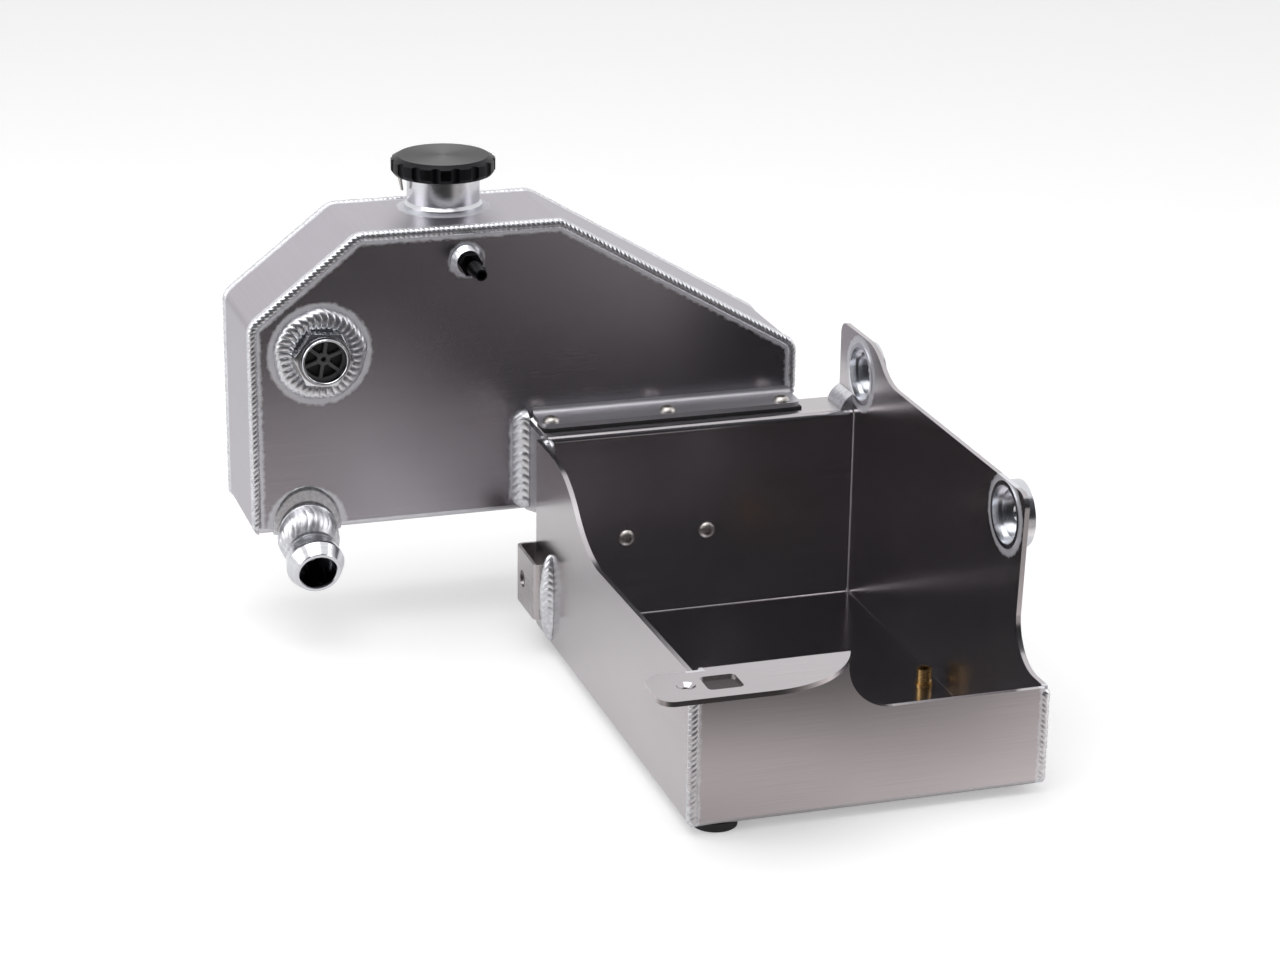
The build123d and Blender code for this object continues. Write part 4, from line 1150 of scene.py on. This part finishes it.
@dataclass
class Tank:
    """The welded tank: panels, perimeter beads, and the beads round its fittings."""

    port_heat: float = 26.0 * MM
    vent_heat: float = 4.5 * MM
    neck_heat: float = 22.5 * MM
    outlet_heat: float = 18.5 * MM
    outlet_heat_z: float = 77.0 * MM
    step_heat_x: float = STEP_LEFT - 3.5 * MM
    step_heat_z: float = 108.0 * MM
    step_heat_stretch: float = 0.28
    step_leg: float = 9.2 * MM
    step_pitch: float = 5.0 * MM

    def outline_heat(self) -> list[HeatLine]:
        """Heat lines along the outline's edges, from the lower left over the top to the right.

        Returns:
            One heat line for each edge, whose normal is the edge's direction turned inwards.
        """
        lines = []
        for (x0, z0), (x1, z1) in zip(OUTLINE[:5], OUTLINE[1:6]):
            along_x, along_z = (float(part) for part in unit(np.array([x1 - x0, z1 - z0])))
            lines.append(HeatLine((along_z, 0.0, -along_x), along_z * x0 - along_x * z0))
        return lines

    def dress_panels(self) -> None:
        """Give the panels their sheet finishes; their base colours differ by panel as painted light and
        shade, darkest on the front and lightest on the bottom and the joint strip.
        """
        edges = self.outline_heat()
        rings = (
            HeatRing(PORT, (1.0, 0.0, 1.0), self.port_heat),
            HeatRing(VENT, (1.0, 0.0, 1.0), self.vent_heat),
            HeatRing((OUTLET_X, TANK_FRONT, self.outlet_heat_z), (1.0, 0.0, 1.0), self.outlet_heat),
        )
        stretch = self.step_heat_stretch
        step = HeatCorner(
            HeatLine(TO_RIGHT, self.step_heat_x),
            HeatLine((0.0, 0.0, stretch), stretch * self.step_heat_z),
        )
        seams = (HeatLine(TO_BACK, TANK_FRONT), HeatLine(TO_FRONT, -TANK_BACK))
        neck = HeatRing(NECK, (1.0, 1.0, 0.0), self.neck_heat)
        plain = (0.62, 0.61, 0.64)
        across, along = Grain.ALONG_X, Grain.ALONG_Y
        # Base colours by panel: the front's darker colour is painted shade, the lighter bottom and joint
        # strip painted light
        for node, *finish in (
            ("tank_front_panel", "front_sheet", (0.37, 0.355, 0.385), 0.25, across, (*edges, *rings, step)),
            ("tank_wrap", "wrap_sheet", (0.45, 0.425, 0.465), 0.36, along, (*seams, neck)),
            ("tank_back_panel", "back_sheet", (0.50, 0.48, 0.49), 0.32, across, tuple(edges)),
            ("tank_step_panel", "step_sheet", (0.50, 0.48, 0.50), 0.34, along, seams[1:]),
            ("tank_bottom_panel", "tank_bottom_panel_sheet", plain, 0.28, across),
            ("joint_strip", "joint_strip_sheet", plain, 0.46, across),
        ):
            dress_nodes(SheetFinish(*finish).material(), node)

    def build_bead(self, node: str, corners: Array, closed: bool, weld: Material) -> None:
        """Build a perimeter bead.

        Args:
            node: The node that it stands for, the front's or the back's.
            corners: Corners of its line, x and z, clockwise seen from the front.
            closed: Whether it runs all the way round, as the back's does.
            weld: The weld's material.
        """
        path = rounded_path(corners, OUTLINE_RADII[:len(corners)], closed, BEAD_STEP)
        if closed:
            tangent = unit(np.roll(path, -1, axis=0) - np.roll(path, 1, axis=0))
        else:
            tangent = unit(np.gradient(path, axis=0))
        outward = np.stack([-tangent[:, 1], np.zeros(len(path)), tangent[:, 0]], axis=1)
        depth, inward = (TANK_BACK, TO_FRONT) if closed else (TANK_FRONT, TO_BACK)
        line = np.stack([path[:, 0], np.full(len(path), depth), path[:, 1]], axis=1)
        CornerBead(node, line, outward, inward, closed).build(weld)

    def build(self, weld: Material) -> None:
        """Dress the panels and build all of the tank's beads.

        Args:
            weld: The weld's material.
        """
        self.dress_panels()
        corners = np.array(OUTLINE)
        front = corners[:6] + np.array([(0.0, 2.0 * MM), *[(0.0, 0.0)] * 4, (0.0, 3.0 * MM)])
        self.build_bead("front_weld", front, False, weld)
        self.build_bead("back_weld", corners, True, weld)
        low = (STEP_LEFT, TANK_FRONT, TANK_FLOOR + 2.0 * MM)
        high = (STEP_LEFT, TANK_FRONT, STRIP_BOTTOM + 7.0 * MM)
        FilletBead("step_weld", low, high, self.step_leg, self.step_pitch).build(weld)
        PortRing().build(weld)
        OutletCollar().build(weld)


@dataclass
class Tray:
    """The open tray: folded pan, its corner beads, and the welds of its clip and rear corners."""

    color: Triple = (0.50, 0.475, 0.49)
    heat_width: float = 6.0 * MM
    cup_heat: float = 19.0 * MM
    left_bead_top: float = 97.0 * MM
    right_bead_top: float = 64.5 * MM
    bead_bottom: float = BASE + 1.5 * MM
    clip_heights: Pair = (9.0 * MM, 67.0 * MM)
    clip_leg: float = 7.5 * MM
    clip_pitch: float = 4.2 * MM

    def dress_pan(self) -> None:
        """Give the pan its sheet finish with the pale bands beside its corner welds."""
        front = HeatLine(TO_BACK, FRONT)
        heat = (HeatCorner(HeatLine(TO_RIGHT, LEFT), front), HeatCorner(HeatLine(TO_LEFT, -RIGHT), front))
        cups = [HeatRing(place, (0.0, 1.0, 1.0), self.cup_heat) for place in (REAR_CUP, FRONT_CUP)]
        for name, roughness, grain, bands, nodes in (
            ("tray_sheet", 0.19, Grain.ALONG_X, heat, ("floor", "front_wall", "back_wall", "lip", "flange")),
            ("tray_side_sheet", 0.21, Grain.ALONG_Y, (*heat, *cups), ("left_wall", "right_wall")),
        ):
            sheet = SheetFinish(name, self.color, roughness, grain, bands, self.heat_width).material()
            dress_nodes(sheet, *(f"tray_{node}" for node in nodes))

    def build(self, weld: Material) -> None:
        """Dress the pan and build the tray's beads.

        Args:
            weld: The weld's material.
        """
        self.dress_pan()
        for node, x, top, outward in (
            ("front_left_weld", LEFT, self.left_bead_top, TO_LEFT),
            ("front_right_weld", RIGHT, self.right_bead_top, TO_RIGHT),
        ):
            height = np.arange(self.bead_bottom, top, BEAD_STEP)
            line = np.stack([np.full(len(height), x), np.full(len(height), FRONT), height], axis=1)
            CornerBead(node, line, outward, TO_BACK).build(weld)
        low, high = ((LEFT, CLIP_Y, height) for height in self.clip_heights)
        FilletBead("clip_weld", low, high, self.clip_leg, self.clip_pitch, spindle=True).build(weld)
        WeldLump().build(weld)
        dress_nodes(weld, "back_right_weld")


@dataclass
class Fittings:
    """Turned, screwed and moulded parts: the outlet, the port and its star are new, the rest is dressed."""

    silver: Triple = (0.70, 0.71, 0.74)
    black: Triple = (0.018, 0.018, 0.020)
    star_black: Triple = (0.075, 0.078, 0.078)
    # Heights between which the star's openings are painted darker: painted shade
    well_shade_heights: Pair = (8.9 * MM, 10.6 * MM)

    def dress_turned(self) -> None:
        """Dress the nodes that were turned on a lathe, in bare metal or black."""
        for node, name, color, roughness, *lathe in (
            ("filler_neck", "filler_neck_metal", self.silver, 0.20, NECK, UP),
            ("level_port_boss", "level_port_boss_metal", self.silver, 0.22, PORT, TO_FRONT),
            ("vent_boss", "vent_boss_metal", self.silver, 0.20, VENT, TO_FRONT),
            ("rear_cup", "rear_cup_metal", self.silver, 0.18, REAR_CUP, TO_LEFT),
            ("front_cup", "front_cup_metal", self.silver, 0.18, FRONT_CUP, TO_LEFT),
            ("cap_cover", "cap_black", self.black, 0.34, NECK, UP, 0.5 * MM),
            ("vent_fitting", "vent_black", self.black, 0.3, VENT, TO_FRONT),
        ):
            dress_nodes(TurnedFinish(name, color, roughness, *lathe).material(), node)

    def build_new(self) -> None:
        """Build the star, the outlet's tube and the port's fitting."""
        bottom, top = (PORT[1] - height for height in self.well_shade_heights)
        # The star's openings are painted nearly black at their bottom: painted shade
        StarInsert().build(PaintedWellShade("insert_black_painted_shade", self.star_black, 0.4, bottom, top).material())
        elbow = OutletElbow()
        outlet = TurnedFinish("outlet_metal", self.silver, 0.13, elbow.mouth, elbow.aim)
        OutletTube(elbow=elbow).build(outlet.material())
        PortFitting().build(TurnedFinish("port_metal", self.silver, 0.14, PORT, TO_FRONT).material())

    def dress_plain(self) -> None:
        """Dress the screws, seals, drain and clip."""
        steel = PlainFinish("screw_steel", (0.60, 0.57, 0.54), 0.4, 1.0).material()
        dress_nodes(steel, "strip_screws", "strip_nuts", "wall_screws", "wall_nuts")
        dress_nodes(steel, "cap_tab_plate", "cap_spring", "cap_plunger")
        rubber = PlainFinish("black_rubber", (0.015, 0.015, 0.016), 0.6).material()
        dress_nodes(rubber, "strip_gasket", "cap_upper_seal", "cap_plunger_seal", "floor_pads")
        brass = PlainFinish("brass", (0.58, 0.38, 0.15), 0.25, 1.0).material()
        dress_nodes(brass, "drain_fitting", "drain_nut")
        clip = SheetFinish("clip_sheet", (0.50, 0.47, 0.47), 0.28, Grain.ALONG_Y).material()
        dress_nodes(clip, "clip_bracket")

    def build(self) -> None:
        """Dress the turned nodes, build the new pieces and dress the rest."""
        self.dress_turned()
        self.build_new()
        self.dress_plain()


@dataclass
class Studio:
    """Camera, pale floor, soft lights and the glowing screens that only mirrors see, a painted reflection
    that darkens the front faces.
    """

    lens: float = 92.28
    sensor: float = 36.0
    yaw: float = math.radians(17.94)
    pitch: float = math.radians(19.71)
    roll: float = math.radians(0.78)
    eye: Triple = (-556.6 * MM, -1575.1 * MM, 801.9 * MM)
    world_level: float = 0.55
    floor_size: float = 14.0
    floor_drop: float = 0.3 * MM
    floor_glow: float = 0.33
    mirror_glow: float = 0.15
    # Noise in the screens' glow, part of the painted reflection
    reflection_noise_cycles: Triple = (2.2, 4.5, 4.5)
    reflection_noise_centre: Triple = (0.3, 0.1, 0.0)
    reflection_noise_levels: Pair = (0.72, 1.25)

    def camera(self) -> None:
        """Set the camera from its place and its yaw, pitch and roll."""
        right = Vector((math.cos(self.yaw), -math.sin(self.yaw), 0.0))
        ahead = Vector((
            math.sin(self.yaw) * math.cos(self.pitch),
            math.cos(self.yaw) * math.cos(self.pitch),
            -math.sin(self.pitch),
        ))
        above = right.cross(ahead)
        across = right * math.cos(self.roll) + above * math.sin(self.roll)
        up = above * math.cos(self.roll) - right * math.sin(self.roll)
        data = bpy.data.cameras.new("camera")
        data.lens = self.lens
        data.sensor_width = self.sensor
        camera = bpy.data.objects.new("camera", data)
        turn = Matrix((across, up, -ahead)).transposed().to_4x4()
        camera.matrix_world = Matrix.Translation(Vector(self.eye)) @ turn
        bpy.context.scene.collection.objects.link(camera)
        bpy.context.scene.camera = camera

    def world(self) -> None:
        """White backdrop for the eye and for mirrors, and a softer pale world for light."""
        world = bpy.data.worlds.new("world")
        bpy.context.scene.world = world
        world.use_nodes = True
        graph = Graph(world.node_tree)
        backdrop = graph.tree.nodes["Background"]
        rays = graph.node("ShaderNodeLightPath").outputs
        seen = graph.math("MAXIMUM", rays["Is Camera Ray"], rays["Is Glossy Ray"])
        seen = graph.math("MAXIMUM", seen, rays["Is Transmission Ray"])
        graph.link(WHITE, backdrop.inputs["Color"])
        graph.link(graph.spread(seen, (0.0, 1.0), (self.world_level, 1.0)), backdrop.inputs["Strength"])

    def floor(self) -> None:
        """Pale floor that goes over into the white backdrop and keeps the shadow."""
        bpy.ops.mesh.primitive_plane_add(size=self.floor_size, location=(0.0, 0.0, -self.floor_drop))
        plane = bpy.context.object
        plane.name = "floor"
        shader = Shader("pale_floor", (0.82, 0.82, 0.82), 0.0, 0.9)
        rays = shader.node("ShaderNodeLightPath").outputs
        mirrored = shader.math("MAXIMUM", rays["Is Glossy Ray"], rays["Is Transmission Ray"])
        glow = shader.math("MULTIPLY", rays["Is Camera Ray"], self.floor_glow)
        glow = shader.math("MULTIPLY_ADD", mirrored, self.mirror_glow, glow)
        shader.feed({"Specular IOR Level": 0.1, "Emission Color": WHITE, "Emission Strength": glow})
        dress(plane, shader.material)

    def screen(self, name: str, corners: Sequence[Triple], color: Triple, levels: tuple) -> None:
        """Add a glowing screen that only mirrors see, a painted reflection, brighter or darker along one or
        two directions.

        Args:
            name: The screen's name.
            corners: Its corners, in order.
            color: Its colour.
            levels: Rows of a direction, the places along it and the levels there, added up.
        """
        mesh = bpy.data.meshes.new(name)
        mesh.from_pydata(corners, [], [tuple(range(len(corners)))])
        screen = bpy.data.objects.new(name, mesh)
        bpy.context.scene.collection.objects.link(screen)
        shader = Shader(name + "_painted_reflection", (0.0, 0.0, 0.0), 0.0, 1.0)
        total: object = 0.0
        for direction, places, strengths in levels:
            along = shader.measure("DOT_PRODUCT", shader.place(), direction)
            total = shader.math("ADD", total, shader.spread(along, places, strengths))
        # Noise that varies the screen's glow: part of the painted reflection
        reflection_noise = shader.noise(self.reflection_noise_cycles, 1.0, self.reflection_noise_centre)
        glow = shader.math("MULTIPLY", total, shader.spread(reflection_noise, NOISE_MIDDLE, self.reflection_noise_levels))
        shader.feed({"Specular IOR Level": 0.0, "Emission Color": (*color, 1.0), "Emission Strength": glow})
        dress(screen, shader.material)
        for ray in ("camera", "diffuse", "shadow", "transmission"):
            setattr(screen, "visible_" + ray, False)

    def lamp(self, name: str, place: Triple, aim: Triple, size: float, power: float) -> None:
        """Add a square soft lamp.

        Args:
            name: The lamp's name.
            place: Where it hangs.
            aim: The point that it faces.
            size: Its side.
            power: Its power in watts.
        """
        data = bpy.data.lights.new(name, "AREA")
        data.size = size
        data.energy = power
        lamp = bpy.data.objects.new(name, data)
        lamp.location = place
        lamp.rotation_euler = (Vector(aim) - Vector(place)).to_track_quat("-Z", "Y").to_euler()
        bpy.context.scene.collection.objects.link(lamp)

    def build(self) -> None:
        """Build the studio: an upright screen in front, and a low one round the tray's front and left, both
        painted reflections.
        """
        self.camera()
        self.world()
        self.floor()
        far, near, height = -2.4, -0.022, 0.002
        upright = ((-6.0, far, 0.0), (6.0, far, 0.0), (6.0, far, 6.5), (-6.0, far, 6.5))
        low = (
            (-3.0, far, height),
            (3.0, far, height),
            (3.0, near, height),
            (-0.07, near, height),
            (-0.07, 0.18, height),
            (-0.5, 0.18, height),
            (-0.5, near, height),
            (-3.0, near, height),
        )
        # Both screens glow for mirrors only, painting the dark reflection on the front faces; the low one is
        # painted brighter towards the back and the right
        self.screen("front_screen", upright, (0.93, 0.95, 1.05), ((UP, (0.2, 3.0), (0.03, 0.10)),))
        ramps = ((TO_BACK, (-0.27, -0.08), (0.05, 0.70)), (TO_RIGHT, (0.10, 0.40), (0.0, 0.5)))
        self.screen("low_screen", low, (1.0, 0.94, 0.92), ramps)
        self.lamp("overhead", (-0.4, 0.1, 1.9), (0.0, 0.2, 0.1), 1.6, 16.0)
        self.lamp("left", (-1.9, 0.5, 1.0), (0.0, 0.2, 0.15), 1.2, 9.0)
        self.lamp("right", (1.8, -0.3, 1.2), (0.0, 0.2, 0.1), 1.0, 6.0)
        bpy.context.scene.view_settings.view_transform = "Standard"


def main() -> None:
    """Build the studio, dress the CAD nodes and add the detailed pieces."""
    logging.basicConfig(level=logging.INFO)
    Studio().build()
    weld = WeldFinish("weld_metal").material()
    Tank().build(weld)
    Tray().build(weld)
    Fittings().build()


if __name__ == "__main__":
    main()
